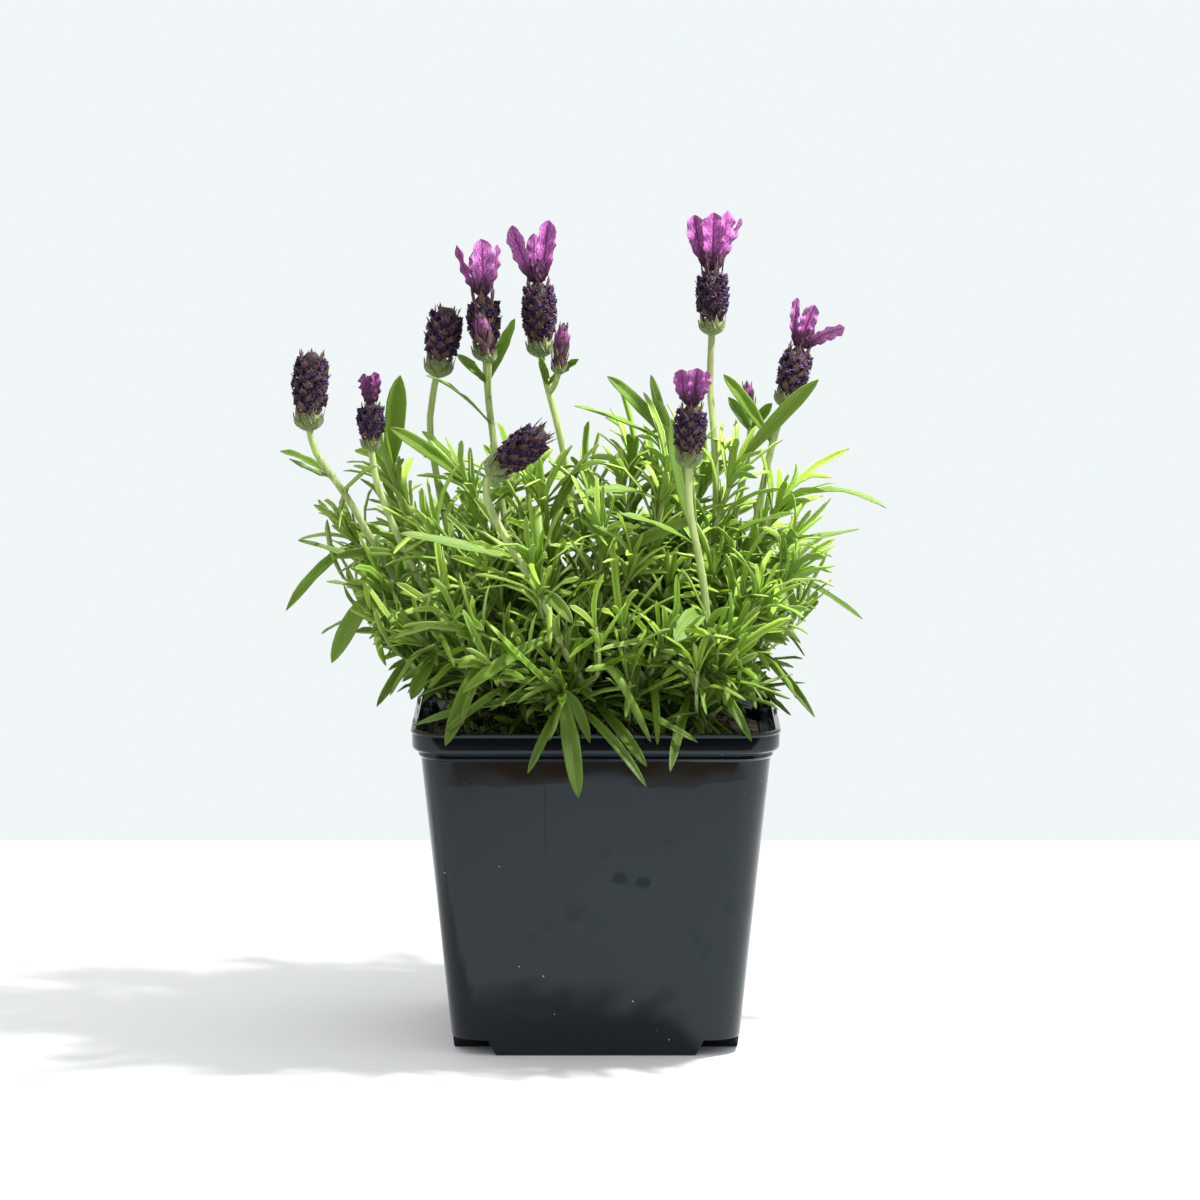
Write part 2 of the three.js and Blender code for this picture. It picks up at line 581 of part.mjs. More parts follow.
// The ear-like bracts on a head, held together by the short tuft that they spring from.
function crownSolid(bracts) {
  const tuft = (turn) => skin([
    level(6, () => [1.9, GAP], turn), level(6, () => [2.2, 1.6], turn), level(6, () => [1, 3.6], turn),
  ]);
  const blades = bracts.map(([bend, tip, width]) => {
    const reach = point(tip);
    const outward = new THREE.Vector3(bend[0], bend[1], 0).normalize();
    const root = outward.clone().multiplyScalar(1.2).setZ(1);
    const facing = outward.clone();
    facing.y += (outward.y > 0.5 ? 1 : -1) * BRACT_TURN;
    const side = new THREE.Vector3().crossVectors(facing, reach.clone().sub(root)).normalize();
    const form = { broad: true, long: true, bract: true };
    return bladeSolid({ root, bend: point(bend), tip: reach, width, side, ...form });
  });
  return firstSound((turn) => join([tuft(turn), ...blades]));
}

// ---------------------------------------------------------------- assembly

const lavender = new THREE.Group();

function addPiece(name, body, colour, roughness, metalness = 0) {
  const mesh = body.getMesh();
  const geometry = new THREE.BufferGeometry();
  geometry.setAttribute('position', new THREE.Float32BufferAttribute(mesh.vertProperties, 3));
  geometry.setIndex(Array.from(mesh.triVerts));
  geometry.computeVertexNormals();
  const material = new THREE.MeshStandardMaterial({ color: colour, roughness, metalness });
  const piece = new THREE.Mesh(geometry, material);
  piece.name = name;
  lavender.add(piece);
}

const twoDigits = (number) => String(number).padStart(2, '0');

const pot = makePot();
place('pot', pot);

// Stems with the cups of their heads, and a side branch where a bud springs from the last node.
const stems = [];
for (const [number, { path, head, side }] of Object.entries(FLOWER_STEMS)) {
  const base = point(HEADS[head].base);
  const curve = stemPath([...path.map(point), base]);
  const stem = {
    name: `flower_stem_${twoDigits(number)}`,
    seed: Number(number),
    path: curve,
    half: FLOWER_STEM_HALF,
    spin: draw(Number(number), 0, 0, 7),
    youthFrom: 0.15,
    colour: GREEN.stem,
    shares: PAIR_PLACES.flowerStem,
  };
  const cups = (turn) => (side ? [head, side] : [head]).map((key) => {
    const axis = point(HEADS[key].top).sub(point(HEADS[key].base)).normalize();
    return stand(cupSolid(HEADS[key], turn), point(HEADS[key].base), axis);
  });
  const branches = (turn) => (side ? [sideBranch(curve, point(HEADS[side].base), turn)] : []);
  stem.body = firstSound((turn) => join([stemSolid(curve, stem.half, 1, stem.spin, 8), ...branches(turn),
    ...cups(turn)]));
  stems.push(stem);
}
SHOOT_ENDS.forEach((end, index) => {
  const seed = index + 21;
  const curve = stemPath(shootPoints(point(end)));
  const spin = draw(seed, 0, 0, 7) * Math.PI / 2;
  stems.push({
    name: `leafy_shoot_${twoDigits(index + 1)}`,
    seed,
    path: curve,
    half: SHOOT_STEM_HALF,
    spin,
    youthFrom: 0,
    colour: index % 3 ? GREEN.fresh : GREEN.deep,
    shares: PAIR_PLACES.shoot,
    body: stemSolid(curve, SHOOT_STEM_HALF, SHOOT_TAPER, spin, 4),
  });
});
for (const stem of stems) place(stem.name, stem.body);

// Flower heads and their crowns.
for (const [number, head] of Object.entries(HEADS)) {
  const base = point(head.base);
  const axis = point(head.top).sub(base);
  const length = axis.length();
  axis.normalize();
  const body = stand(headSolid(head, length), base, axis);
  place(`flower_head_${twoDigits(number)}`, body);
  addPiece(`flower_head_${twoDigits(number)}`, body, DARK_PURPLE, 0.85);
  if (CROWNS[number]) {
    const crown = stand(crownSolid(CROWNS[number]), along(base, axis, length), axis);
    place(`bract_crown_${twoDigits(number)}`, crown);
    addPiece(`bract_crown_${twoDigits(number)}`, crown, PINK_PURPLE, 0.6);
  }
}

// The soil: it fills the pot, is mounded and uneven on top, and has a hole for each stem.
function makeSoil() {
  const floor = POT.cornerLift + POT.wall + GAP;
  const half = insideHalf(SOIL.top, GAP);
  const edge = SOIL.top - 1;
  const rings = [potRing(insideHalf(floor, GAP), floor, 2), potRing(insideHalf(edge, GAP), edge, 2)];
  SOIL.ringShares.forEach((share, ringNumber) => {
    rings.push(potRing(half * share, 0, 2).map((p, index) => p.setZ(SOIL.top
      + SOIL.mound * (1 - share) + SOIL.roughness * (draw(0, ringNumber, index, 9) - 0.5))));
  });
  const holes = stems.map(stemHole);
  return holes.reduce((soil, hole) => soil.subtract(hole),
    skin(rings).add(loweredFloor(POT.wall + GAP, POT.wall + 0.1 + GAP)));
}
const soil = makeSoil();
place('soil', soil);
addPiece('pot', pot, CHARCOAL, 0.35);
addPiece('soil', soil, EARTH, 0.95);

// The large single leaves, each on the stem that comes nearest to where it starts.
function nearestRoot(start) {
  let best = { distance: Infinity };
  for (const stem of stems) {
    for (let step = 12; step <= 60; step++) {
      const root = stem.path.getPointAt(step / 60);
      const distance = root.distanceTo(start);
      if (distance < best.distance) best = { distance, stem, root };
    }
  }
  return best;
}

LARGE_LEAVES.forEach(([start, end, width, arch, facing]) => {
  const { stem, root } = nearestRoot(point(start));
  const poses = [];
  for (let attempt = 0; attempt < POSES_TRIED; attempt++) {
    const sway = 2.2 * Math.ceil(attempt / 2) * (attempt % 2 ? -1 : 1);
    const tip = point(end);
    tip.y += sway;
    const bend = root.clone().lerp(tip, 0.5);
    bend.y += sway * 0.5;
    bend.z += arch + attempt * 0.5;
    const side = new THREE.Vector3().crossVectors(point(FACING[facing]), tip.clone().sub(root)).normalize();
    const rootShare = Math.min(0.3, 1.2 / width);
    poses.push({ root, bend, tip, width, side, broad: width > 4.5, long: true, rootShare });
  }
  placeLeaf(stem, poses);
});

for (const stem of stems) leafPairs(stem, stem.shares);
for (const stem of stems) addPiece(stem.name, stem.body, stem.colour, 0.7);

export default lavender;
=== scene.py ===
"""The looks of a young lavender in a square nursery pot, on a pale table in soft light.

The plant follows the same growth rules as its solids, with finer leaves, scales, florets and
hairs. Growth is worked out in millimetres, and everything is stored in metres.
"""

import bisect
import math

import bpy
from bpy.props import FloatProperty, FloatVectorProperty, IntProperty, PointerProperty
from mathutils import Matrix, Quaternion, Vector
from mathutils.kdtree import KDTree


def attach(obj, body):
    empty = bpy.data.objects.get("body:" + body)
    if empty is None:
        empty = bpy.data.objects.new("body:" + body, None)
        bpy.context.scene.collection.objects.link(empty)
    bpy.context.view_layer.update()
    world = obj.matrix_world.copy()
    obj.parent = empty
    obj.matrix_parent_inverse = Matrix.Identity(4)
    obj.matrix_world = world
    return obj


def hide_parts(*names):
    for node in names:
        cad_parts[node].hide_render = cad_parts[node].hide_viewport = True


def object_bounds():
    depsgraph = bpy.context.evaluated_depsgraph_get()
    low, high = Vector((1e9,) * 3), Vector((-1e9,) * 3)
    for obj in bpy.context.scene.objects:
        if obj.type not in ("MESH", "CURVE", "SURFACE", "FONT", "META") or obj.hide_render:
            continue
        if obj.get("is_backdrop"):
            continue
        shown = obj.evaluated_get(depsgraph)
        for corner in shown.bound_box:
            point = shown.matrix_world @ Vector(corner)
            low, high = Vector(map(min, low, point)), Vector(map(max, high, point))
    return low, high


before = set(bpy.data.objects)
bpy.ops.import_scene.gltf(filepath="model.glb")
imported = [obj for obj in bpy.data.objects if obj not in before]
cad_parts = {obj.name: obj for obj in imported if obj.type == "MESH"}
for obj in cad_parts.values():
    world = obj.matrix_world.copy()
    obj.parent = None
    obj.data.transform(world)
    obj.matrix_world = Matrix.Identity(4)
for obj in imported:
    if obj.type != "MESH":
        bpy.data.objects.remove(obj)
CAD_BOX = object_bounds()

bl_info = {
    "name": "Potted lavender",
    "version": (1, 0, 0),
    "blender": (4, 5, 0),
    "location": "3D View > Sidebar > Lavender",
    "description": "Makes the looks of a young lavender in a square nursery pot",
    "category": "Object",
}

MM = 0.001
UP = Vector((0, 0, 1))
NOISE_ROUGHNESS = 0.55
CRUMB_SEED = 5
# In metres and square metres, as the geometry nodes use them.
HAIR_RADIUS = 0.00004
CRUMB_SIZES = (0.0007, 0.0034)
SOIL_AREA = 0.0135

# ------------------------------------------------------------ sizes, in millimetres

POT_HEIGHT = 119
RIM_HALF = 65.4
LIP = 0.5
BAND_HEIGHT = 8
LEDGE_HEIGHT = 2.2
SHOULDER_HALF = 62.3
BASE_HALF = 52
CORNER_LIFT = 5.5
SKIRT_FACE = 51.2
SKIRT_HALF = 36
SKIRT_FLARE = 2.7
WALL = 1.3
CORNER_RADIUS = 14
CORNER_STEPS = 14
FLOOR_JOIN = CORNER_LIFT + 1.6
DRAIN_RADIUS = 3.6
DRAIN_PLACE = 44
SOIL_TOP = 107
HOLE_DEPTH = 12

FLOWER_STEM_HALF = 1.2
SHOOT_STEM_HALF = 1.0
SHOOT_TAPER = 0.75
BRANCH_HALF = 0.9
FORK_SHARE = 0.9
STEM_STEPS = 26
BRANCH_STEPS = 8
# A tube's corners are rounded off, so it's made a little thicker than the solid's square section.
ROUNDED_SHARE = 1.04
# The stems that have turned brown at the top.
BROWN_STEMS = (9, 11)

# The solids' pairs of leaves, from the foot of a stem to its top, and their places along it. For
# each leaf the solids try several poses and keep the first one that has room.
POSES_TRIED = 9
PAIRS = {"length": (30, 18), "width": (4.8, 3.4), "splay": (1.15, 0.5)}
PAIR_PLACES = {"flower": (0.3, 0.48), "shoot": (0.32, 0.52, 0.74, 0.94)}

# Where the small leaves and the leafy twigs grow, as shares of a stem's length, and how many
# leaves there are in the tuft beside each of them.
FOLIAGE_PLACES = {"flower": (0.17, 0.23, 0.36, 0.42),
                  "shoot": (0.2, 0.29, 0.38, 0.47, 0.56, 0.65, 0.74, 0.83, 0.91)}
TWIG_PLACES = {"flower": (0.2, 0.32), "shoot": (0.3, 0.5, 0.68)}
TUFT = 2

# What the small leaves keep clear of, and how far the bush reaches.
RIM_ZONE = (58, 68.5)
LOWEST_INSIDE = SOIL_TOP + 3
LOWEST_OUTSIDE = 100
BUSH_TOP = 238
BUSH_DEPTH = (-79, 74)

# Finished leaves are a little slimmer than the angular ones of the solids. The highest large
# leaves are crinkled. They and the ones that hang over the rim are slimmer still.
LEAF_WIDTH_SHARE = 0.92
SLIM_WIDTH_SHARE = 0.85
CRINKLED_FROM = 243
HANGING_BELOW = 125

# The outlines of the blades: how blunt the tip is, where along the blade it's widest, and how
# wide the root is beside that.
PAIR_FORM = (13, 0.45, 0.32)
SMALL_FORM = (20, 0.36, 0.42)
EAR_FORM = (16, 0.62, 0.38)
CLOSED_EAR_FORM = (3.5, 0.55, 0.5)
HUSK_FORM = (8, 0.5, 0.6)
SCALE_FORM = (1.7, 0.45, 0.5)
CUP_FORM = (2.2, 0.5, 0.5)

SCALE_PITCH = {"flower": 2.45, "bud": 3.2}
CORE_SHARE = 0.7
BRACT_TURN = 2

# Flower heads: base, top, radius over the scale tips, how ragged the top is, closed bud or not.
HEADS = {
    1: ((-104, -5, 223), (-102.5, -5, 249), 7.2, 1.5, False),
    2: ((-81, -15, 216), (-81, -15, 232), 4.9, 1, False),
    3: ((-57.5, 10, 241), (-54, 10, 264), 7.2, 1.5, False),
    4: ((-40, 6, 247), (-41, 6, 269), 6.6, 4.5, False),
    5: ((-38.5, -9, 247), (-42, -9, 264), 4.1, 1, True),
    6: ((-20, 1, 249), (-21, 1, 274), 6.8, 2.5, False),
    7: ((-13.5, -8.5, 243), (-11.5, -8.5, 260), 3.8, 1, True),
    8: ((-36.5, -50, 210.5), (-18, -50, 225), 6.8, 3, False),
    9: ((42, 0, 257), (42, 0, 279), 6.4, 5.5, False),
    10: ((33, -45, 213.5), (34, -45, 234), 6.3, 2, False),
    11: ((69, 5, 230), (74, 5, 250), 6.2, 2.5, False),
    12: ((56, 12, 225), (55, 12, 237), 3.2, 0.8, True),
}

# Ear-like bracts, in their head's frame from its top: bend, tip, width.
CROWNS = {
    2: [((-1.6, -1.2, 5), (-2.2, -1.6, 10.5), 4.2), ((1.8, -0.4, 5), (1.4, -0.6, 11), 4),
        ((0.2, 2, 5), (0, 2.4, 9.5), 3.8)],
    4: [((-5, 0.5, 5), (-8.6, 1.2, 18.5), 3.4), ((0.5, -3.2, 8), (0.4, -2.4, 20.5), 8.6),
        ((4.8, 1.2, 7), (6, 1.8, 18), 3.2), ((-1.2, 4, 7), (-2, 5.5, 16), 6)],
    6: [((-5.4, -1, 9), (-8.4, -1.6, 21), 6.4), ((-1.4, 1.6, 8), (-0.6, 3.4, 17.5), 5),
        ((2.6, -1.8, 9), (4.9, -2.4, 22.5), 6.8), ((2.4, 4.4, 8), (3.6, 7, 17), 5.4)],
    9: [((-5.6, -1, 9), (-6.4, -0.6, 19.5), 6.6), ((0.2, -3.6, 9), (0.4, -3.4, 20.5), 8.2),
        ((4.6, -0.4, 9), (5.4, 0.4, 21), 6.6), ((-1.8, 4.2, 8), (-2.4, 5.6, 18), 6.2),
        ((5.4, 3, 8), (10.6, 4, 18), 3.4)],
    10: [((-3.8, -1.2, 6), (-4.2, -1, 12.5), 6), ((1, -3, 6), (1.2, -2.8, 13.4), 6),
         ((4, 0.8, 6), (4.6, 1.4, 12), 4.6), ((-0.6, 3.4, 6), (-0.8, 4.2, 12), 5)],
    11: [((-4.2, -0.8, 7), (-5.4, -0.6, 17.5), 3.6), ((0, -2.4, 8), (1.4, -2.8, 16.5), 6),
         ((6.4, -0.6, 7.4), (14, -0.8, 11), 6.2), ((1, 4, 7), (1.4, 6, 14), 5)],
}

# Flowering stems: points from the soil up, the head at the end and the bud on a side branch.
FLOWER_STEMS = {
    1: ([(-37, -4, 107), (-46, -4, 126), (-72, -4, 165), (-90, -5, 196), (-101, -5, 212)], 1, None),
    2: ([(-31, -16, 107), (-40, -16, 128), (-64, -15, 168), (-78, -15, 200)], 2, None),
    3: ([(-26, 12, 107), (-34, 12, 130), (-52, 10, 175), (-60, 10, 215),
         (-59.5, 10, 231)], 3, None),
    4: ([(-17, 3, 107), (-21, 3, 130), (-32, 5, 180), (-38, 5, 222), (-39.6, 6, 238)], 4, 5),
    6: ([(-3, 5, 107), (-2, 5, 130), (-6, 3, 180), (-13, 1, 218), (-18.5, 1, 240)], 6, 7),
    8: ([(4, -36, 107), (2, -42, 121), (-11, -53, 147), (-19, -55, 166), (-30, -52, 184),
         (-37.6, -50, 198), (-38.8, -50, 206)], 8, None),
    9: ([(31, 5, 107), (35, 5, 130), (43, 2, 180), (43, 0, 215), (41.4, 0, 236)], 9, None),
    10: ([(36, -33, 107), (38, -38, 122), (40, -45, 148), (38, -45, 172),
          (33.4, -45, 196)], 10, None),
    11: ([(41, 10, 107), (46, 10, 130), (56, 8, 175), (64, 5, 214)], 11, None),
    12: ([(30, 19, 107), (35, 18, 130), (48, 15, 175), (56, 12, 214)], 12, None),
}

SHOOT_ENDS = [
    (-76, 6, 204), (-92, 4, 184), (-79, -12, 164), (-62, -36, 148), (-46, -10, 202),
    (-20, -20, 200), (25, -16, 201), (27, 10, 214), (51, -8, 208), (68, 0, 196),
    (72, -14, 170), (58, -30, 156), (44, -54, 140), (25, -58, 150), (-12, -62, 134),
    (-40, -52, 148), (-22, -44, 176), (2, -38, 188), (-58, -18, 184), (14, 28, 206),
    (-34, 36, 198), (-66, 40, 172), (-30, 60, 158), (8, 66, 162), (44, 50, 176),
    (70, 34, 164), (-88, 26, 150), (40, 24, 200),
]

# Single large leaves: a point near the root, the tip, the width, how high the leaf arches, and
# whether its broad side looks to the front or up.
LARGE_LEAVES = [
    ((-76, 6, 202), (-71, 5, 240), 8.5, 1, "front"),
    ((-34, -10, 221), (-61, -20, 242), 5.5, 5, "up"),
    ((-45, -15, 203), (-74, -26, 224), 5.5, 3, "front"),
    ((-89, 0, 209), (-115, 6, 212), 3.5, 3, "up"),
    ((-88, -5, 208), (-111, -10, 211), 3.5, -2, "up"),
    ((-91, 0, 177), (-113, 0, 154), 4.4, 6, "front"),
    ((-82, -5, 162), (-96, -8, 136), 7.4, 6, "front"),
    ((-36, -55, 173), (-69, -70, 191), 6, 2, "up"),
    ((-63, -20, 141), (-79, -28, 123), 5, 4, "front"),
    ((-18, -55, 133), (-65, -66, 122), 4.6, 4, "up"),
    ((-44, -62, 131), (-53, -74, 116), 7, 3, "front"),
    ((-21, -60, 150), (-47, -74, 135), 5, 4, "front"),
    ((-56, -30, 148), (-66, -44, 128), 6, 3, "front"),
    ((-11, -65, 134), (-6, -78, 98), 7.6, 4, "front"),
    ((-7, -62, 116), (-2, -76, 88), 4, 5, "front"),
    ((-5, -60, 117), (18, -76, 103), 4, 4, "front"),
    ((8, -62, 125), (18, -80, 110), 5, 3, "front"),
    ((26, -60, 123), (26, -78, 108), 4.4, 3, "front"),
    ((5, -60, 126), (36, -76, 118), 4, 3, "up"),
    ((-11, -60, 120), (-24, -77, 107), 4, 3, "front"),
    ((42, -55, 161), (28, -68, 152), 8.6, 5, "front"),
    ((-18, -55, 171), (-8, -70, 159), 5, 4, "front"),
    ((63, 0, 195), (105, -12, 193), 3.6, 12, "up"),
    ((65, 0, 178), (96, 2, 184), 3.2, -3, "up"),
    ((67, 0, 167), (97, -8, 152), 3.2, 6, "up"),
    ((60, -15, 140), (79, -28, 119), 4, 6, "front"),
    ((29, 0, 218), (-8, -17, 231), 4.4, 2, "up"),
    ((25, 10, 219), (4, 2, 240), 5, 4, "front"),
    ((27, 10, 212), (20, 17, 239), 4, 1, "front"),
    ((51, -10, 210), (80, -22, 241), 6, 3, "front"),
    ((58, 5, 216), (46, -3, 241), 5, 3, "front"),
    ((-18, -20, 195), (4, -32, 212), 4.6, 8, "up"),
    ((23, -20, 195), (-10, -34, 198), 5, 9, "up"),
    ((37, -45, 184), (8, -62, 197), 4.6, 3, "up"),
    ((62, -10, 178), (72, -20, 154), 7, 5, "front"),
    ((53, -20, 154), (68, -32, 147), 5, 3, "front"),
    ((37, -58, 134), (55, -70, 117), 4, 3, "front"),
    ((-2, -62, 141), (-2, -74, 116), 5, 4, "front"),
    ((34, -35, 183), (27, -32, 228), 7.6, 0, "front"),
    ((-4, -20, 190), (-5, -24, 211), 4, 0, "front"),
    ((16, -30, 177), (36, -42, 193), 5, 3, "front"),
    ((50, -25, 176), (71, -34, 194), 4, 3, "up"),
    ((-67, -5, 173), (-108, -8, 181), 3.2, 2, "up"),
    ((-73, -15, 160), (-97, -24, 168), 3.2, 2, "up"),
    ((-72, -20, 175), (-94, -34, 178), 4, 3, "front"),
    ((-39, 4, 238), (-50, -12, 249), 4.2, 1, "front"),
    ((-38, 4, 238), (-29, -13, 262), 4.8, 1, "front"),
    ((-17, 0, 236), (-20, -14, 248), 3.4, 1, "front"),
    ((-16, 0, 236), (-6, -12, 247), 3.4, 1, "front"),
    ((56, 12, 219), (48, 4, 232), 4.2, 1, "front"),
    ((56, 12, 219), (64, 4, 230), 4.2, 1, "front"),
]
# How dark each head's bracts are, from 0 for pale pink to 1 for deep purple.
CROWN_TONES = {2: 0.8, 4: 0.3, 6: 0.12, 9: 0.45, 10: 0.35, 11: 0.0}
# How far each head has faded from violet to brown.
FADING = {1: 0.7, 2: 0.4, 3: 0.6, 4: 0.7, 5: 0.5, 6: 0.1, 7: 0.3, 8: 0.3, 9: 0.0, 10: 0.7,
          11: 0.7, 12: 0.3}
# Which way the broad side of a large leaf looks.
FACING = {"front": Vector((0, -1, 0.3)), "up": Vector((0, -0.45, 1))}

# What a skeleton's point grows into.
STEM, LEAF, SMALL_LEAF, EAR, SCALE, CUP, BOWL, FLORET, CORE = range(9)

# The camera stands two metres in front of the pot, a little above it.
CAMERA_PLACE = (1.5, -2000, 425)
CAMERA_PITCH = math.radians(7.6)
CAMERA_LENS = 166.23
FLOOR_FRONT = -318
FLOOR_BACK = 390
FLOOR_SIDE = 1200

# Colours that go with those in the settings. A glow is what shines through something thin.
PAINTS = {
    "leaf": {"mottle": (0.42, 0.60, 0.07), "rib": (0.46, 0.62, 0.14), "margin": (0.52, 0.64, 0.26),
             "tip": (0.48, 0.62, 0.16), "dry": (0.20, 0.12, 0.05), "glow": (0.44, 0.70, 0.04)},
    "stem": {"bark": (0.13, 0.085, 0.05), "straw": (0.36, 0.33, 0.18), "down": (0.58, 0.66, 0.38),
             "glow": (0.55, 0.72, 0.12)},
    "ear": {"pink": (0.58, 0.21, 0.53), "purple": (0.20, 0.045, 0.15),
            "vein": (0.12, 0.012, 0.075), "margin": (0.24, 0.06, 0.22),
            "foot": (0.065, 0.020, 0.045), "glow": (0.66, 0.20, 0.62)},
    "scale": {"dark": (0.042, 0.019, 0.036), "pale": (0.17, 0.10, 0.088),
              "faded": (0.25, 0.155, 0.12), "vein": (0.030, 0.014, 0.024),
              "margin": (0.32, 0.18, 0.165), "tip": (0.045, 0.020, 0.035),
              "down": (0.36, 0.21, 0.21), "glow": (0.28, 0.10, 0.14)},
    "cup": {"dark": (0.12, 0.20, 0.03), "pale": (0.30, 0.40, 0.09), "vein": (0.07, 0.10, 0.035),
            "margin": (0.44, 0.46, 0.24), "tip": (0.12, 0.07, 0.07), "glow": (0.4, 0.5, 0.1)},
    # The florets' lighter violet is a painted highlight colour.
    "floret": {"dark": (0.012, 0.007, 0.026), "violet": (0.10, 0.035, 0.17)},
    "hair": {"grey": (0.50, 0.48, 0.42), "white": (0.80, 0.80, 0.72), "glow": (0.8, 0.8, 0.7)},
    "brown hair": {"dark": (0.15, 0.08, 0.08), "pale": (0.42, 0.26, 0.25),
                   "glow": (0.4, 0.3, 0.3)},
    "core": {"dark": (0.016, 0.009, 0.020), "pale": (0.075, 0.050, 0.055)},
    # The pot's brown is a painted reflection colour.
    "pot": {"dust": (0.42, 0.43, 0.43), "brown_reflection": (0.010, 0.0055, 0.0025),
            "sheen": (0.68, 0.88, 1.0, 1.0)},
    "soil": {"fibre": (0.13, 0.08, 0.045), "grit": (0.22, 0.18, 0.13)},
    "table": {"dull": (0.88, 0.885, 0.89), "clean": (0.90, 0.905, 0.91)},
    "studio": {"floorboards": (0.40, 0.27, 0.14), "dark": (0.035, 0.037, 0.042),
               "light": (0.97, 0.99, 1.0), "wall": (0.875, 0.925, 0.930)},
}


# ------------------------------------------------------------ settings

class PotSettings(bpy.types.PropertyGroup):
    plastic: FloatVectorProperty(name="Plastic", description="Colour of the moulded pot", size=3,
                                 subtype="COLOR", default=(0.0020, 0.0042, 0.0062))
    gloss: FloatProperty(name="Roughness", description="Roughness of the pot", default=0.09,
                         min=0, max=1, subtype="FACTOR")
    earth: FloatVectorProperty(name="Earth", description="Colour of the potting mix", size=3,
                               subtype="COLOR", default=(0.045, 0.027, 0.017))
    crumbs: IntProperty(name="Crumbs", description="Crumbs of potting mix on the soil",
                        default=2600, min=0)


class PlantSettings(bpy.types.PropertyGroup):
    fresh: FloatVectorProperty(name="Fresh leaf", description="Colour of the young leaves", size=3,
                               subtype="COLOR", default=(0.42, 0.62, 0.070))
    deep: FloatVectorProperty(name="Old leaf", description="Colour of the old leaves", size=3,
                              subtype="COLOR", default=(0.29, 0.56, 0.002))
    felt: FloatVectorProperty(name="Felt", description="Grey down on a leaf's underside", size=3,
                              subtype="COLOR", default=(0.26, 0.38, 0.17))
    stem: FloatVectorProperty(name="Stem", description="Colour of the stems", size=3,
                              subtype="COLOR", default=(0.58, 0.70, 0.25))
    ear: FloatVectorProperty(name="Ear", description="Colour of the ear-like bracts", size=3,
                             subtype="COLOR", default=(0.45, 0.085, 0.42))
    scale: FloatVectorProperty(name="Scale", description="Colour of the heads' scales", size=3,
                               subtype="COLOR", default=(0.130, 0.055, 0.048))
    floret: FloatVectorProperty(name="Floret", description="Colour of the florets", size=3,
                                subtype="COLOR", default=(0.040, 0.012, 0.070))
    hair: FloatProperty(name="Hair length", description="Length of the hairs on stems and heads",
                        default=0.0007, min=0, unit="LENGTH")
    stem_down: FloatProperty(name="Stem hairs", description="Hairs on a square metre of stem",
                             default=0.9e6, min=0)
    head_down: FloatProperty(name="Head hairs", description="Hairs on a square metre of scale",
                             default=0.9e6, min=0)
    seed: IntProperty(name="Seed", description="Seed of the hairs' places", default=7)


class StageSettings(bpy.types.PropertyGroup):
    lamp: FloatProperty(name="Lamp", description="Power of the lamp", default=10, min=0,
                        subtype="POWER")
    place: FloatVectorProperty(name="Lamp's place", description="Where the lamp hangs", size=3,
                               subtype="TRANSLATION", unit="LENGTH", default=(0.155, -0.045, 0.47))
    radius: FloatProperty(name="Lamp's radius", description="Radius of the lamp", default=0.012,
                          min=0, unit="LENGTH")
    fill: FloatProperty(name="Fill", description="Strength of the white fill", default=0.97, min=0)


# ------------------------------------------------------------ node trees

class Wire:
    """A node's output. Working with it adds Math and Vector Math nodes to its tree."""

    def __init__(self, board, socket):
        self.board = board
        self.socket = socket

    def is_vector(self):
        return self.socket.type == "VECTOR"

    def _math(self, operation, *others):
        links = dict(enumerate((self, *others)))
        return self.board.add("ShaderNodeMath", {"operation": operation}, links)

    def _vector(self, operation, *others, out=0):
        links = dict(enumerate((self, *others)))
        return self.board.add("ShaderNodeVectorMath", {"operation": operation}, links, out)

    def _either(self, operation, other):
        work = self._vector if self.is_vector() else self._math
        return work(operation, other)

    def __add__(self, other):
        return self._either("ADD", other)

    def __sub__(self, other):
        return self._either("SUBTRACT", other)

    def __mul__(self, other):
        if self.is_vector():
            return self.board.add("ShaderNodeVectorMath", {"operation": "SCALE"},
                                  {"Vector": self, "Scale": other})
        return self._math("MULTIPLY", other)

    def __truediv__(self, other):
        return self._math("DIVIDE", other)

    def __pow__(self, other):
        return self._math("POWER", other)

    def __mod__(self, other):
        return self._math("FLOORED_MODULO", other)

    def __radd__(self, other):
        return self + other

    def __rmul__(self, other):
        return self * other

    def __rsub__(self, other):
        return self.board.add("ShaderNodeMath", {"operation": "SUBTRACT"}, {0: other, 1: self})

    def __neg__(self):
        return self * -1

    def __lt__(self, other):
        return self._math("LESS_THAN", other)

    def __gt__(self, other):
        return self._math("GREATER_THAN", other)

    def absolute(self):
        return self._math("ABSOLUTE")

    def sine(self):
        return self._math("SINE")

    def least(self, other):
        return self._math("MINIMUM", other)

    def most(self, other):
        return self._math("MAXIMUM", other)

    def part(self):
        return self._math("FRACT")

    def sign(self):
        return self._math("SIGN")

    def near(self, other):
        return self._math("COMPARE", other, 0.5)

    def dot(self, other):
        return self._vector("DOT_PRODUCT", other, out="Value")

    def cross(self, other):
        return self._vector("CROSS_PRODUCT", other)

    def unit(self):
        return self._vector("NORMALIZE")

    def stretched(self, x, y, z):
        return self._vector("MULTIPLY", (x, y, z))

    def split(self):
        node = self.board.node("ShaderNodeSeparateXYZ", {}, {0: self})
        return [Wire(self.board, node.outputs[axis]) for axis in range(3)]

    def ramp(self, low, high, bottom=0.0, top=1.0):
        """This value, taken smoothly from low..high to bottom..top and held at the ends."""
        links = {"Value": self, "From Min": low, "From Max": high, "To Min": bottom, "To Max": top}
        return self.board.add("ShaderNodeMapRange", {"interpolation_type": "SMOOTHSTEP"}, links)


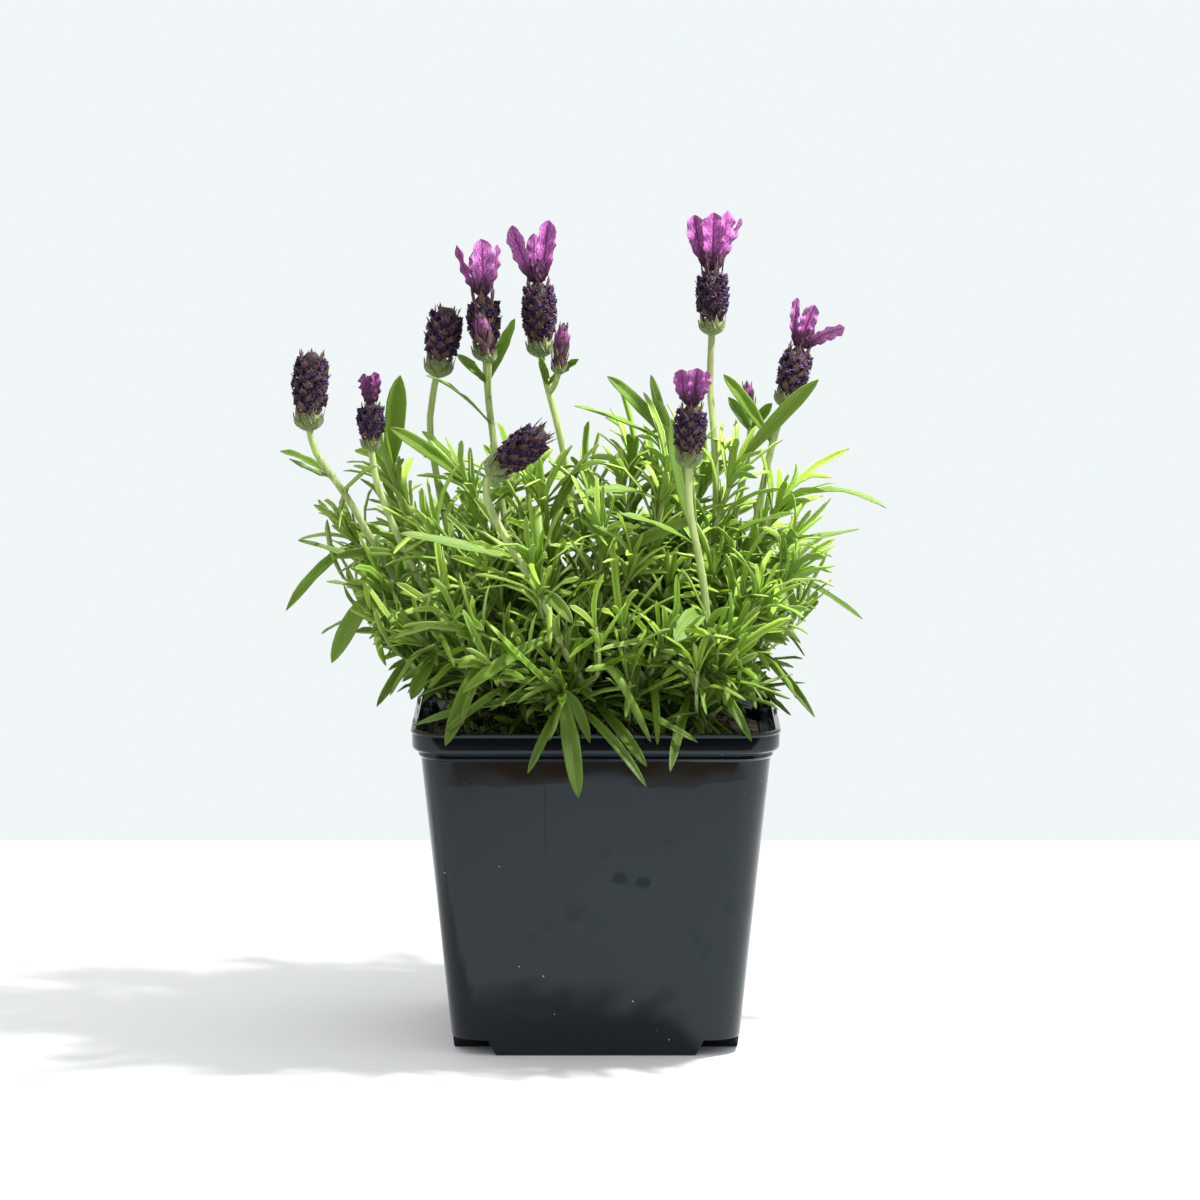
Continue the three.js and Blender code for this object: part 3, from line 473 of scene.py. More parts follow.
class Board:
    """A node tree that nodes are added to by type, settings and the values of their sockets."""

    def __init__(self, tree):
        self.tree = tree

    def node(self, kind, settings=None, links=None):
        node = self.tree.nodes.new(kind)
        for name, value in (settings or {}).items():
            setattr(node, name, value)
        for key, value in (links or {}).items():
            self._plug(node.inputs[key], value)
        return node

    def add(self, kind, settings=None, links=None, out=0):
        return Wire(self, self.node(kind, settings, links).outputs[out])

    def _plug(self, socket, value):
        if isinstance(value, Wire):
            self.tree.links.new(value.socket, socket)
        elif socket.type == "RGBA" and len(value) == 3:
            socket.default_value = (*value, 1)
        else:
            socket.default_value = value

    def mix(self, share, low, high):
        """A colour between low and high."""
        node = self.node("ShaderNodeMix", {"data_type": "RGBA"}, {0: share, 6: low, 7: high})
        return Wire(self, node.outputs[2])

    def join(self, x, y, z):
        return self.add("ShaderNodeCombineXYZ", {}, {0: x, 1: y, 2: z})


class Finish(Board):
    """A material under construction."""

    def __init__(self, name):
        self.material = bpy.data.materials.new(name)
        self.material.use_nodes = True
        super().__init__(self.material.node_tree)
        self.tree.nodes.clear()
        self.place = self.add("ShaderNodeTexCoord", out="Object")

    def attribute(self, name):
        return self.add("ShaderNodeAttribute", {"attribute_name": name}, out="Vector")

    def noise(self, scale, detail, place=None):
        links = {"Vector": place or self.place, "Scale": scale, "Detail": detail,
                 "Roughness": NOISE_ROUGHNESS}
        return self.add("ShaderNodeTexNoise", {}, links)

    def cells(self, scale, place=None, feature="F1"):
        links = {"Vector": place or self.place, "Scale": scale, "Randomness": 1.0}
        return self.add("ShaderNodeTexVoronoi", {"feature": feature}, links, "Distance")

    def bump(self, height, distance, strength=1.0):
        return self.add("ShaderNodeBump", {}, {"Height": height, "Distance": distance,
                                              "Strength": strength})

    def finish(self, colour, roughness, normal=None, glow=None, glow_share=0.0, coat=None,
               constants=None):
        """Ends the material: a Principled surface, through which light may shine in colour glow."""
        links = {"Base Color": colour, "Roughness": roughness}
        if normal:
            links["Normal"] = normal
        if coat:
            links["Coat Weight"] = coat
        shader = self.node("ShaderNodeBsdfPrincipled", {}, links)
        for name, value in (constants or {}).items():
            shader.inputs[name].default_value = value
        surface = Wire(self, shader.outputs[0])
        if glow:
            behind = self.add("ShaderNodeBsdfTranslucent", {}, {"Color": glow})
            surface = self.add("ShaderNodeMixShader", {}, {0: glow_share, 1: surface, 2: behind})
        self.node("ShaderNodeOutputMaterial", {}, {"Surface": surface})
        return self.material


# ------------------------------------------------------------ materials

def dimmed(colour, share):
    return tuple(c * share for c in colour)


def leaf_finish():
    """Fresh green outside and at the tips, older towards the foot of the bush, with painted shade
    low down and inside it.
    """
    look = bpy.context.scene.lavender_plant
    paint = PAINTS["leaf"]
    m = Finish("downy leaf")
    along, across, side = m.attribute("blade").split()
    chance, age, downy = m.attribute("tint").split()
    wide = across.absolute()
    x, y, z = m.place.split()
    youth = chance * 0.8 + age * 0.4 + m.noise(90, 3) * 0.5 + z.least(0.19) * 7 - 1.65
    colour = m.mix(youth.ramp(0.0, 1.0), tuple(look.deep), tuple(look.fresh))
    colour = m.mix(m.noise(1400, 2).ramp(0.35, 0.8, 0, 0.3), colour, paint["mottle"])
    rib = wide.ramp(0.06, 0.2, 1, 0) * along.ramp(0.75, 1.0, 1, 0)
    colour = m.mix(rib * 0.45, colour, paint["rib"])
    # Painted shade down the middle of each blade, against its lighter edges.
    colour = m.mix(wide.ramp(0.3, 0.7, 1, 0) * 0.25, colour, dimmed(look.deep, 0.5))
    # Paler margins: partly the felted edge, partly a painted highlight where the rolled edge
    # catches the light.
    margin = wide.ramp(0.68, 0.94) * age.ramp(0.1, 0.4, 0.3, 0.5)
    colour = m.mix(margin, colour, paint["margin"])
    colour = m.mix(along.ramp(0.8, 1.0) * 0.3, colour, paint["tip"])
    grain = m.noise(2600, 2)
    down = m.mix(grain.ramp(0.3, 0.7), dimmed(look.felt, 0.7), tuple(look.felt))
    felted = (downy * 0.5 + (side < 0) * 0.25).least(0.75)
    colour = m.mix(felted * grain.ramp(0.25, 0.6, 0.5, 1), colour, down)
    dry = along.ramp(0.94, 1.0) * chance.ramp(0.74, 0.8)
    colour = m.mix(dry * 0.8, colour, paint["dry"])
    # Large leaves are darker by their own age; leaves low in the bush, near the rim and soil, get
    # painted shade.
    old_leaf_and_low_shade = age.ramp(0.02, 0.12, 0.55, 0).most(z.ramp(0.112, 0.17, 0.9, 0))
    colour = m.mix(old_leaf_and_low_shade, colour, tuple(c * 0.2 + 0.008 for c in look.deep))
    # Painted shade inside the bush: the nearer a leaf is to the bush's middle, the darker it is
    # made.
    outside = (x * 11.5) ** 2 + (y * 13) ** 2 + ((z - 0.105) * 8.5) ** 2
    colour = m.mix(outside.ramp(0.15, 0.95, 0.7, 0), colour, dimmed(look.deep, 0.2))
    side_veins = (along * 11 - wide * 1.6).part().ramp(0.0, 0.2)
    height = wide.ramp(0.0, 0.14) * 0.5 + side_veins * 0.15 + grain * 0.5
    return m.finish(colour, grain.ramp(0.2, 0.8, 0.36, 0.56), m.bump(height, 0.0003, 1.0),
                    glow=paint["glow"], glow_share=0.15, constants={"IOR": 1.4})


def stem_finish():
    """Pale green and streaked. The tint says how far along a stem it is, and which ones brown."""
    look = bpy.context.scene.lavender_plant
    paint = PAINTS["stem"]
    m = Finish("downy stem")
    chance, age, _ = m.attribute("tint").split()
    streak = m.noise(1, 3, m.place.stretched(900, 900, 60))
    colour = m.mix(streak.ramp(0.35, 0.7), dimmed(look.stem, 0.62), tuple(look.stem))
    brown = m.mix(streak.ramp(0.3, 0.65), paint["bark"], paint["straw"])
    colour = m.mix(chance.ramp(0.72, 0.8) * age.ramp(0.8, 0.97) * 0.7, colour, brown)
    grain = m.noise(3200, 2)
    colour = m.mix(grain.ramp(0.5, 0.8) * 0.35, colour, paint["down"])
    height = streak * 0.6 + grain * 0.5
    return m.finish(colour, grain.ramp(0.2, 0.8, 0.5, 0.75), m.bump(height, 0.0002),
                    glow=paint["glow"], glow_share=0.22, constants={"Sheen Weight": 0.1})


def ear_finish():
    """Pink to purple with a net of dark veins, and darkest where the bract springs."""
    look = bpy.context.scene.lavender_plant
    paint = PAINTS["ear"]
    m = Finish("ear bract")
    along, across, _ = m.attribute("blade").split()
    chance, tone, dark = m.attribute("tint").split()
    wide = across.absolute()
    pale = tuple(min(1, c * 1.25 + 0.06) for c in look.ear)
    body = m.mix(m.noise(300, 3).ramp(0.3, 0.7), tuple(look.ear), pale)
    outer = (wide * 0.5 + along * 0.5 + chance * 0.4 - tone - 0.3).ramp(0, 0.7)
    body = m.mix(outer, body, paint["pink"])
    body = m.mix(tone * 0.6, body, paint["purple"])
    bend = along * 7 - wide * 2.6 + m.noise(420, 2) * 0.8 + across.sign() * 0.25
    ribs = (bend.part() - 0.5).absolute().ramp(0.05, 0.17, 1, 0) * wide.ramp(0.0, 0.95, 1, 0.3)
    place = m.join(along * 9 - wide * 4, across * 3, chance * 40)
    net = m.cells(1, place, "DISTANCE_TO_EDGE").ramp(0.02, 0.10, 1, 0)
    middle = wide.ramp(0.04, 0.14, 1, 0)
    veins = (net * 0.7).most(ribs * 0.9).most(middle)
    colour = m.mix(veins * along.ramp(0.75, 1.0, 0.95, 0.6), body, paint["vein"])
    colour = m.mix(wide.ramp(0.90, 1.0) * 0.5, colour, paint["margin"])
    colour = m.mix(along.ramp(0.14, 0.5, 0.95, 0).most(dark * 0.8), colour, paint["foot"])
    height = veins * -0.7 + m.noise(900, 2) * 0.4
    return m.finish(colour, m.noise(700, 2).ramp(0.2, 0.8, 0.45, 0.65), m.bump(height, 0.0003),
                    glow=paint["glow"], glow_share=0.18)


def scale_finish():
    """Dark violet-brown scales with pale downy margins, faded to brown on the older heads."""
    look = bpy.context.scene.lavender_plant
    paint = PAINTS["scale"]
    m = Finish("flower scale")
    along, across, _ = m.attribute("blade").split()
    chance, _, faded = m.attribute("tint").split()
    wide = across.absolute()
    blotch = m.noise(420, 3)
    colour = m.mix(blotch.ramp(0.35, 0.65), paint["dark"], tuple(look.scale))
    colour = m.mix(chance.ramp(0.5, 1.0) * 0.6, colour, paint["pale"])
    brown = faded * m.noise(250, 2).ramp(0.3, 0.7, 0.5, 0.95)
    colour = m.mix(brown, colour, paint["faded"])
    veins = ((across * (2.6 - along)).part() - 0.5).absolute().ramp(0.0, 0.16, 1, 0)
    colour = m.mix(veins * 0.45, colour, paint["vein"])
    colour = m.mix(wide.ramp(0.62, 1.0) * 0.5, colour, paint["margin"])
    colour = m.mix(along.ramp(0.70, 1.0) * 0.6, colour, paint["tip"])
    grain = m.noise(2200, 2)
    colour = m.mix(grain.ramp(0.54, 0.70) * 0.5, colour, paint["down"])
    height = veins * 0.5 + grain * 0.7 + blotch * 0.5
    return m.finish(colour, grain.ramp(0.2, 0.8, 0.55, 0.85), m.bump(height, 0.0003),
                    glow=paint["glow"], glow_share=0.1, constants={"IOR": 1.33})


def cup_finish():
    paint = PAINTS["cup"]
    m = Finish("green cup")
    along, across, _ = m.attribute("blade").split()
    wide = across.absolute()
    grain = m.noise(1500, 3)
    colour = m.mix(grain.ramp(0.3, 0.7), paint["dark"], paint["pale"])
    net = ((along * 5 + wide * 3).part() - 0.5).absolute().ramp(0.0, 0.2, 1, 0)
    colour = m.mix(net * 0.5, colour, paint["vein"])
    colour = m.mix(wide.ramp(0.7, 1.0) * 0.4, colour, paint["margin"])
    colour = m.mix(along.ramp(0.62, 1.0) * 0.8, colour, paint["tip"])
    return m.finish(colour, grain.ramp(0.2, 0.8, 0.5, 0.75), m.bump(grain + net * 0.5, 0.0003),
                    glow=paint["glow"], glow_share=0.15, constants={"Sheen Weight": 0.3})


def floret_finish():
    look = bpy.context.scene.lavender_plant
    paint = PAINTS["floret"]
    m = Finish("dark violet floret")
    chance, _, _ = m.attribute("tint").split()
    colour = m.mix(m.noise(800, 2).ramp(0.3, 0.7), paint["dark"], tuple(look.floret))
    # Painted highlight: a random share of the florets is made a lighter violet.
    colour = m.mix(chance.ramp(0.75, 1.0) * 0.5, colour, paint["violet"])
    rough = m.noise(1500, 2).ramp(0.2, 0.8, 0.4, 0.7)
    return m.finish(colour, rough, m.bump(m.noise(1800, 2), 0.0002), constants={"IOR": 1.35})


def hair_finish():
    paint = PAINTS["hair"]
    m = Finish("pale hair")
    colour = m.mix(m.noise(600, 2).ramp(0.3, 0.7), paint["grey"], paint["white"])
    return m.finish(colour, m.noise(300, 1).ramp(0.2, 0.8, 0.4, 0.6), glow=paint["glow"],
                    glow_share=0.4)


def brown_hair_finish():
    paint = PAINTS["brown hair"]
    m = Finish("brown hair")
    colour = m.mix(m.noise(500, 2).ramp(0.35, 0.65), paint["dark"], paint["pale"])
    return m.finish(colour, m.noise(300, 1).ramp(0.2, 0.8, 0.45, 0.7), glow=paint["glow"],
                    glow_share=0.25)


def core_finish():
    paint = PAINTS["core"]
    m = Finish("head core")
    colour = m.mix(m.noise(900, 3).ramp(0.35, 0.7), paint["dark"], paint["pale"])
    return m.finish(colour, m.noise(600, 2).ramp(0.2, 0.8, 0.7, 0.9),
                    m.bump(m.noise(1500, 3), 0.0004))


def plastic_finish():
    """Nearly black, with haze, dust, smudges, scratches and a painted brown reflection under the
    front of the rim.
    """
    look = bpy.context.scene.lavender_pot
    paint = PAINTS["pot"]
    m = Finish("satin black plastic")
    x, y, z = (m.place * 1000).split()
    cloud = m.noise(14, 4)
    colour = m.mix(cloud.ramp(0.3, 0.7), dimmed(look.plastic, 0.8), tuple(look.plastic))
    speck = m.cells(150).ramp(0.03, 0.055, 1, 0) * (m.noise(50, 2) > 0.52)
    colour = m.mix(speck * 0.8, colour, paint["dust"])
    front = (y < -40)
    thumb = spot(m, x, z, 17.0, 64.5, 2.8, 1.9).most(spot(m, x, z, 8.5, 66.0, 3.0, 2.2))
    smudge = (thumb * front).most(m.noise(70, 4).ramp(0.58, 0.72) * 0.4)
    scratch = (x + 17.0 + z * 0.01).absolute().ramp(0.12, 0.3, 1, 0) * front
    scratch = scratch * z.ramp(72, 76) * z.ramp(98, 102, 1, 0)
    streak = m.cells(1, m.place.stretched(260, 260, 12)).ramp(0.014, 0.035, 1, 0)
    scratch = scratch.most(streak * (m.noise(22, 2) > 0.58))
    haze = m.noise(1, 4, m.place.stretched(30, 30, 8))
    # Painted reflection: brown patches under the front of the rim, where the shaded leaves and the
    # room would be mirrored.
    brown_reflection = x.ramp(-56, -50) * x.ramp(-12, -6, 1, 0) + x.ramp(10, 15) * x.ramp(50, 56, 1, 0)
    brown_reflection = brown_reflection * (z - m.noise(45, 2) * 9 - 95.5).ramp(0, 0.7) * z.ramp(107.2, 108.2, 1, 0) * front
    colour = m.mix(brown_reflection * 0.9, colour, paint["brown_reflection"])
    rough = haze.ramp(0.3, 0.7, look.gloss - 0.03, look.gloss + 0.06)
    rough = (rough + smudge * 0.14 + speck * 0.4 + scratch * 0.25).least(0.9)
    height = m.noise(20, 2) + scratch * -0.05 + speck * 0.06 + smudge * 0.02
    return m.finish(colour, rough, m.bump(height, 0.0012, 0.5),
                    # The coat is thinned where the brown reflection is painted.
                    coat=(1 - smudge * 0.8 - scratch * 0.5 - brown_reflection * 0.9).most(0.05) * 0.32,
                    constants={"IOR": 1.34, "Specular Tint": paint["sheen"],
                               "Coat Roughness": 0.08})


def spot(m, x, z, across, up, wide, high):
    """An oval blot on the pot's front, with an uneven edge."""
    edge = m.noise(260, 3) * 3.2 - 0.6
    reach = ((x - across) / wide) ** 2 + ((z - up) / high) ** 2
    return (reach * edge).ramp(0.4, 1.5, 1, 0)


def soil_finish():
    look = bpy.context.scene.lavender_pot
    paint = PAINTS["soil"]
    m = Finish("moist potting mix")
    earth = tuple(look.earth)
    colour = m.mix(m.noise(120, 5).ramp(0.3, 0.7), dimmed(earth, 0.35), earth)
    fibre = m.noise(1, 3, m.place.stretched(500, 160, 300)).ramp(0.6, 0.72)
    colour = m.mix(fibre * 0.6, colour, paint["fibre"])
    colour = m.mix(m.cells(260).ramp(0.10, 0.16, 1, 0) * 0.3, colour, paint["grit"])
    height = m.noise(300, 6) + fibre * 0.4
    return m.finish(colour, m.noise(90, 3).ramp(0.3, 0.7, 0.75, 0.98), m.bump(height, 0.0022))


def table_finish():
    paint = PAINTS["table"]
    m = Finish("white table")
    colour = m.mix(m.noise(6, 3).ramp(0.3, 0.7), paint["dull"], paint["clean"])
    return m.finish(colour, m.noise(20, 2).ramp(0.2, 0.8, 0.65, 0.75))


# ------------------------------------------------------------ meshes

def new_object(name, corners, faces=(), edges=(), scale=MM, shown=True):
    mesh = bpy.data.meshes.new(name)
    mesh.from_pydata([Vector(c) * scale for c in corners], edges, faces)
    mesh.update()
    thing = bpy.data.objects.new(name, mesh)
    if shown:
        bpy.context.scene.collection.objects.link(thing)
    return thing


def freeze(thing):
    """Turns what a piece's modifiers show into its plain mesh."""
    depsgraph = bpy.context.evaluated_depsgraph_get()
    mesh = bpy.data.meshes.new_from_object(thing.evaluated_get(depsgraph),
                                           preserve_all_data_layers=True, depsgraph=depsgraph)
    mesh.name = thing.name
    thing.modifiers.clear()
    thing.data = mesh
    return thing


def settle(piece, slot, *nodes):
    """Rides a finished piece on the part, in the place of its solids."""
    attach(piece, "root")
    if nodes:
        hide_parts(*nodes)


def side_faces(count, ring):
    """The faces between a ring of corners and the next one."""
    low, high = ring * count, (ring + 1) * count
    return [(low + k, low + (k + 1) % count, high + (k + 1) % count, high + k)
            for k in range(count)]


def loft(name, rings):
    """A closed body over rings of points that run counter-clockwise as seen from the next one."""
    count = len(rings[0])
    last = (len(rings) - 1) * count
    faces = [list(range(count))[::-1], [last + k for k in range(count)]]
    for ring in range(len(rings) - 1):
        faces += side_faces(count, ring)
    return new_object(name, [p for ring in rings for p in ring], faces)


def leaf_template():
    stations = (0, 0.07, 0.18, 0.32, 0.46, 0.6, 0.73, 0.84, 0.93, 0.98)
    return blade_template("leaf_template", stations, (-0.88, -0.45, 0, 0.45, 0.88),
                          (0.88, 0, -0.88))


def small_leaf_template():
    return blade_template("small_leaf_template", (0, 0.15, 0.38, 0.64, 0.88, 0.975),
                          (-0.75, 0, 0.75), (0.5, -0.5))


def ear_template():
    stations = [k / 26 for k in range(26)] + [0.985]
    spread = [0.19 * k - 0.95 for k in range(11)]
    return blade_template("ear_template", stations, spread, spread[::-1])


def scale_template():
    return blade_template("scale_template", (0, 0.2, 0.42, 0.62, 0.8, 0.93),
                          (-0.8, -0.4, 0, 0.4, 0.8), (0.6, -0.6))


def blade_template(name, stations, top, bottom):
    """A flat closed blade whose corners know their place along, across and on which face."""
    section = [(-1, 0), *((v, 1) for v in top), (1, 0), *((v, -1) for v in bottom)]
    places = [(u, v, w) for u in stations for v, w in section] + [(1, 0, 0)]
    count = len(section)
    faces = [list(range(count))]
    for ring in range(len(stations) - 1):
        faces += [(a, d, c, b) for a, b, c, d in side_faces(count, ring)]
    last = (len(stations) - 1) * count
    for k in range(count):
        faces.append([last + k, len(places) - 1, last + (k + 1) % count])
    template = new_object(name, places, faces, shown=False)
    field = template.data.attributes.new("blade", "FLOAT_VECTOR", "POINT")
    field.data.foreach_set("vector", [c for place in places for c in place])
    return template


def floret_template():
    """A short tube that opens into five rounded lobes, one unit across, facing +Z."""
    corners = [(0, 0, 0.15)]
    lobes = 5
    count = lobes * 2
    for k in range(count):
        angle = math.pi * k / lobes
        reach, height = (0.24, 0.38) if k % 2 else (0.5, 0.46)
        for radius, z in ((0.16, 0.32), (reach, height), (0.17, -0.5)):
            corners.append((math.cos(angle) * radius, math.sin(angle) * radius, z))
    faces = []
    for k in range(count):
        a, b = 1 + k * 3, 1 + (k + 1) % count * 3
        faces += [(0, a, b), (a, a + 1, b + 1, b), (a + 1, a + 2, b + 2, b + 1)]
    faces.append([3 + k * 3 for k in range(count)][::-1])
    return new_object("floret_template", corners, faces, scale=1, shown=False)


def hair_template():
    corners = [(math.cos(a), math.sin(a), 0) for a in (0, math.tau / 3, 2 * math.tau / 3)]
    corners.append((0.0, 0.0, 1.0))
    faces = [(2, 1, 0), (0, 1, 3), (1, 2, 3), (2, 0, 3)]
    return new_object("hair_template", corners, faces, scale=1, shown=False)


def crumb_template():
    """The dozen corners of an irregular lump; the crumbs' tree wraps them."""
    golden = (1 + math.sqrt(5)) / 2
    base = [(0, s, t * golden) for s in (-1, 1) for t in (-1, 1)]
    corners = [Vector(turn) for c in base for turn in (c, (c[1], c[2], c[0]), (c[2], c[0], c[1]))]
    corners = [c * (0.35 + 0.4 * draw(1, 2, index, 3)) for index, c in enumerate(corners)]
    return new_object("crumb_template", corners, scale=0.5, shown=False)


# ------------------------------------------------------------ the growth tree

def new_group(name, inputs):
    """A geometry node group with a Geometry input and output and the given further inputs."""
    tree = bpy.data.node_groups.new(name, "GeometryNodeTree")
    tree.is_modifier = True
    tree.interface.new_socket("Geometry", in_out="OUTPUT", socket_type="NodeSocketGeometry")
    for label, kind in {"Geometry": "NodeSocketGeometry", **inputs}.items():
        tree.interface.new_socket(label, in_out="INPUT", socket_type=kind)
    board = Board(tree)
    start = board.node("NodeGroupInput")
    ends = board.node("NodeGroupOutput")
    return board, {s.name: Wire(board, s) for s in start.outputs if s.name}, ends


def set_inputs(modifier, values):
    """Sets a geometry nodes modifier's inputs, found by their labels."""
    for item in modifier.node_group.interface.items_tree:
        if item.item_type == "SOCKET" and item.in_out == "INPUT" and item.name in values:
            modifier[item.identifier] = values[item.name]


def named(board, name, kind="FLOAT_VECTOR"):
    return board.add("GeometryNodeInputNamedAttribute", {"data_type": kind}, {"Name": name})


def chosen(board, geometry, kind):
    """The points of a skeleton that grow into one kind of thing."""
    return board.add("GeometryNodeSeparateGeometry", {"domain": "POINT"},
                     {"Geometry": geometry, "Selection": named(board, "kind", "FLOAT").near(kind)})


def blade_place(board):
    """Where a blade's corner goes: along its bent rib, out to its outline, with its folds."""
    u, v, w = named(board, "blade").split()
    root, bend, tip, side = (named(board, name) for name in ("root", "bend", "tip", "side"))
    power, peak, narrow = named(board, "form").split()
    width, thickness, fold = named(board, "size").split()
    ruffle, ruffles, ragged = named(board, "style").split()
    chance, _, _ = named(board, "tint").split()
    rest = 1 - u
    centre = root * (rest * rest) + bend * (u * rest * 2) + tip * (u * u)
    forward = ((bend - root) * rest + (tip - bend) * u).unit()
    level = (side - forward * side.dot(forward)).unit()
    twist = named(board, "twist", "FLOAT") * u
    sideways = level * (twist + math.pi / 2).sine() + forward.cross(level) * twist.sine()
    face = forward.cross(sideways)
    swell = ((u / peak).least(1) * (math.pi / 2)).sine() ** (1 + (power > 5) * 0.3)
    share = (1 - u ** power) * (narrow + (1 - narrow) * swell)
    edge = board.join(u * ruffles * 3.0, v.sign() * 3 + chance * 50, chance * 90)
    uneven = board.add("ShaderNodeTexNoise", {}, {"Vector": edge, "Scale": 1.0, "Detail": 2.0})
    half = width * 0.5 * share * (1 + (uneven - 0.5) * ragged * 2)
    wide = v.absolute()
    wave = ((u * ruffles + chance * 7 + v.sign() * 0.21) * math.tau).sine() * ruffle * wide ** 2
    lift = half * fold * wide ** 1.5 + wave * share
    groove = wide.ramp(0.0, 0.3, -0.35, 0.0) * (w > 0.5) * thickness * (u.ramp(0.8, 1.0, 1, 0))
    body = w * thickness * 0.5 * (1 - u * 0.45)
    return centre + sideways * (v * half) + face * (lift + groove + body)


def template_geometry(board, thing):
    node = board.node("GeometryNodeObjectInfo", {}, {"Object": thing})
    return Wire(board, node.outputs["Geometry"])


def copies_on(board, points, template, **turn_and_size):
    """Copies of a template on points, as real geometry."""
    copies = board.add("GeometryNodeInstanceOnPoints", {},
                       {"Points": points, "Instance": template, **turn_and_size})
    return board.add("GeometryNodeRealizeInstances", {}, {"Geometry": copies})


def painted(board, geometry, material):
    return board.add("GeometryNodeSetMaterial", {}, {"Geometry": geometry, "Material": material})


def white_noise(board, scale):
    """A random value and a random colour for each point, the same ones every time."""
    noise = board.node("ShaderNodeTexWhiteNoise", {},
                       {"Vector": board.add("GeometryNodeInputPosition") * scale})
    return Wire(board, noise.outputs["Value"]), Wire(board, noise.outputs["Color"])


def grown_blades(board, points, template, material):
    """Leaves, scales or ears, each bent to the form that its point says."""
    shaped = board.add("GeometryNodeSetPosition", {}, {
        "Geometry": copies_on(board, points, template), "Position": blade_place(board)})
    return painted(board, shaped, material)


def grown_tubes(board, points, corners, material):
    """Tubes along a skeleton's edges, as thick as the points say. Twelve corners make a square
    section with rounded corners, and other numbers make a round one."""
    line = board.add("GeometryNodeMeshToCurve", {}, {0: points})
    ring = board.add("GeometryNodeCurvePrimitiveCircle", {}, {"Resolution": corners, "Radius": 1.0})
    if corners == 12:
        corner = (board.add("GeometryNodeInputIndex") % 3) > 0.5
        place = board.add("GeometryNodeInputPosition") * (0.92 + corner * 0.18)
        ring = board.add("GeometryNodeSetPosition", {}, {"Geometry": ring, "Position": place})
    tube = board.add("GeometryNodeCurveToMesh", {},
                     {"Curve": line, "Profile Curve": ring, "Fill Caps": True,
                      "Scale": named(board, "thickness", "FLOAT")})
    return painted(board, tube, material)


def grown_hairs(board, surface, template, density, length, seed, material):
    """Fine hairs, scattered over a surface and leaning a little."""
    scatter = board.node("GeometryNodeDistributePointsOnFaces", {},
                         {"Mesh": surface, "Density": density, "Seed": seed})
    normal = Wire(board, scatter.outputs["Normal"])
    value, colour = white_noise(board, 9000)
    lean = board.add("ShaderNodeVectorMath", {"operation": "SUBTRACT"},
                     {0: colour, 1: (0.5, 0.5, 0.3)})
    turn = board.add("FunctionNodeAlignRotationToVector", {"axis": "Z"},
                     {"Vector": normal + lean * 1.1})
    size = board.join(HAIR_RADIUS, HAIR_RADIUS, value.ramp(0, 1, 0.5, 1.2) * length)
    points = Wire(board, scatter.outputs["Points"])
    return painted(board, copies_on(board, points, template, Rotation=turn, Scale=size), material)


def grown_florets(board, points, template, material):
    turn = board.add("FunctionNodeAlignRotationToVector", {"axis": "Z"},
                     {"Vector": named(board, "side")})
    width, _, _ = named(board, "size").split()
    size = board.join(width, width, width)
    return painted(board, copies_on(board, points, template, Rotation=turn, Scale=size), material)


def growth_tree():
    """Turns a skeleton into stems, leaves, scales, ears, florets and hairs."""
    board, given, end = new_group("growth", {
        "Hair length": "NodeSocketFloat", "Stem hairs": "NodeSocketFloat",
        "Head hairs": "NodeSocketFloat", "Seed": "NodeSocketInt",
    })
    hair = template_geometry(board, hair_template())
    scale = template_geometry(board, scale_template())

    def grown(grow, kind, with_what, finish):
        return grow(board, chosen(board, given["Geometry"], kind), with_what, finish)

    def hairs(surface, density, finish):
        return grown_hairs(board, surface, hair, density, given["Hair length"], given["Seed"],
                           finish)
    stems = grown(grown_tubes, STEM, 12, stem_finish())
    scales = grown(grown_blades, SCALE, scale, scale_finish())
    cups = grown(grown_blades, CUP, scale, cup_finish())
    leaf = template_geometry(board, leaf_template())
    leaves = grown(grown_blades, LEAF, leaf, leaf_finish())
    small_leaf = template_geometry(board, small_leaf_template())
    small_leaves = grown(grown_blades, SMALL_LEAF, small_leaf, leaf_finish())
    ear = template_geometry(board, ear_template())
    ears = grown(grown_blades, EAR, ear, ear_finish())
    floret = template_geometry(board, floret_template())
    parts = [
        stems, scales, cups, leaves, small_leaves, ears,
        grown(grown_florets, FLORET, floret, floret_finish()),
        grown(grown_tubes, CORE, 16, core_finish()),
        grown(grown_tubes, BOWL, 20, cup_finish()),
        hairs(stems, given["Stem hairs"], hair_finish()),
        hairs(cups, given["Stem hairs"] * 0.4, hair_finish()),
        hairs(scales, given["Head hairs"], brown_hair_finish()),
    ]
    joined = board.node("GeometryNodeJoinGeometry")
    for part in reversed(parts):
        board.tree.links.new(part.socket, joined.inputs[0])
    real = board.add("GeometryNodeRealizeInstances", {}, {0: Wire(board, joined.outputs[0])})
    smooth = board.add("GeometryNodeSetShadeSmooth", {}, {"Geometry": real})
    board.tree.links.new(smooth.socket, end.inputs[0])
    return board.tree


# ------------------------------------------------------------ skeletons

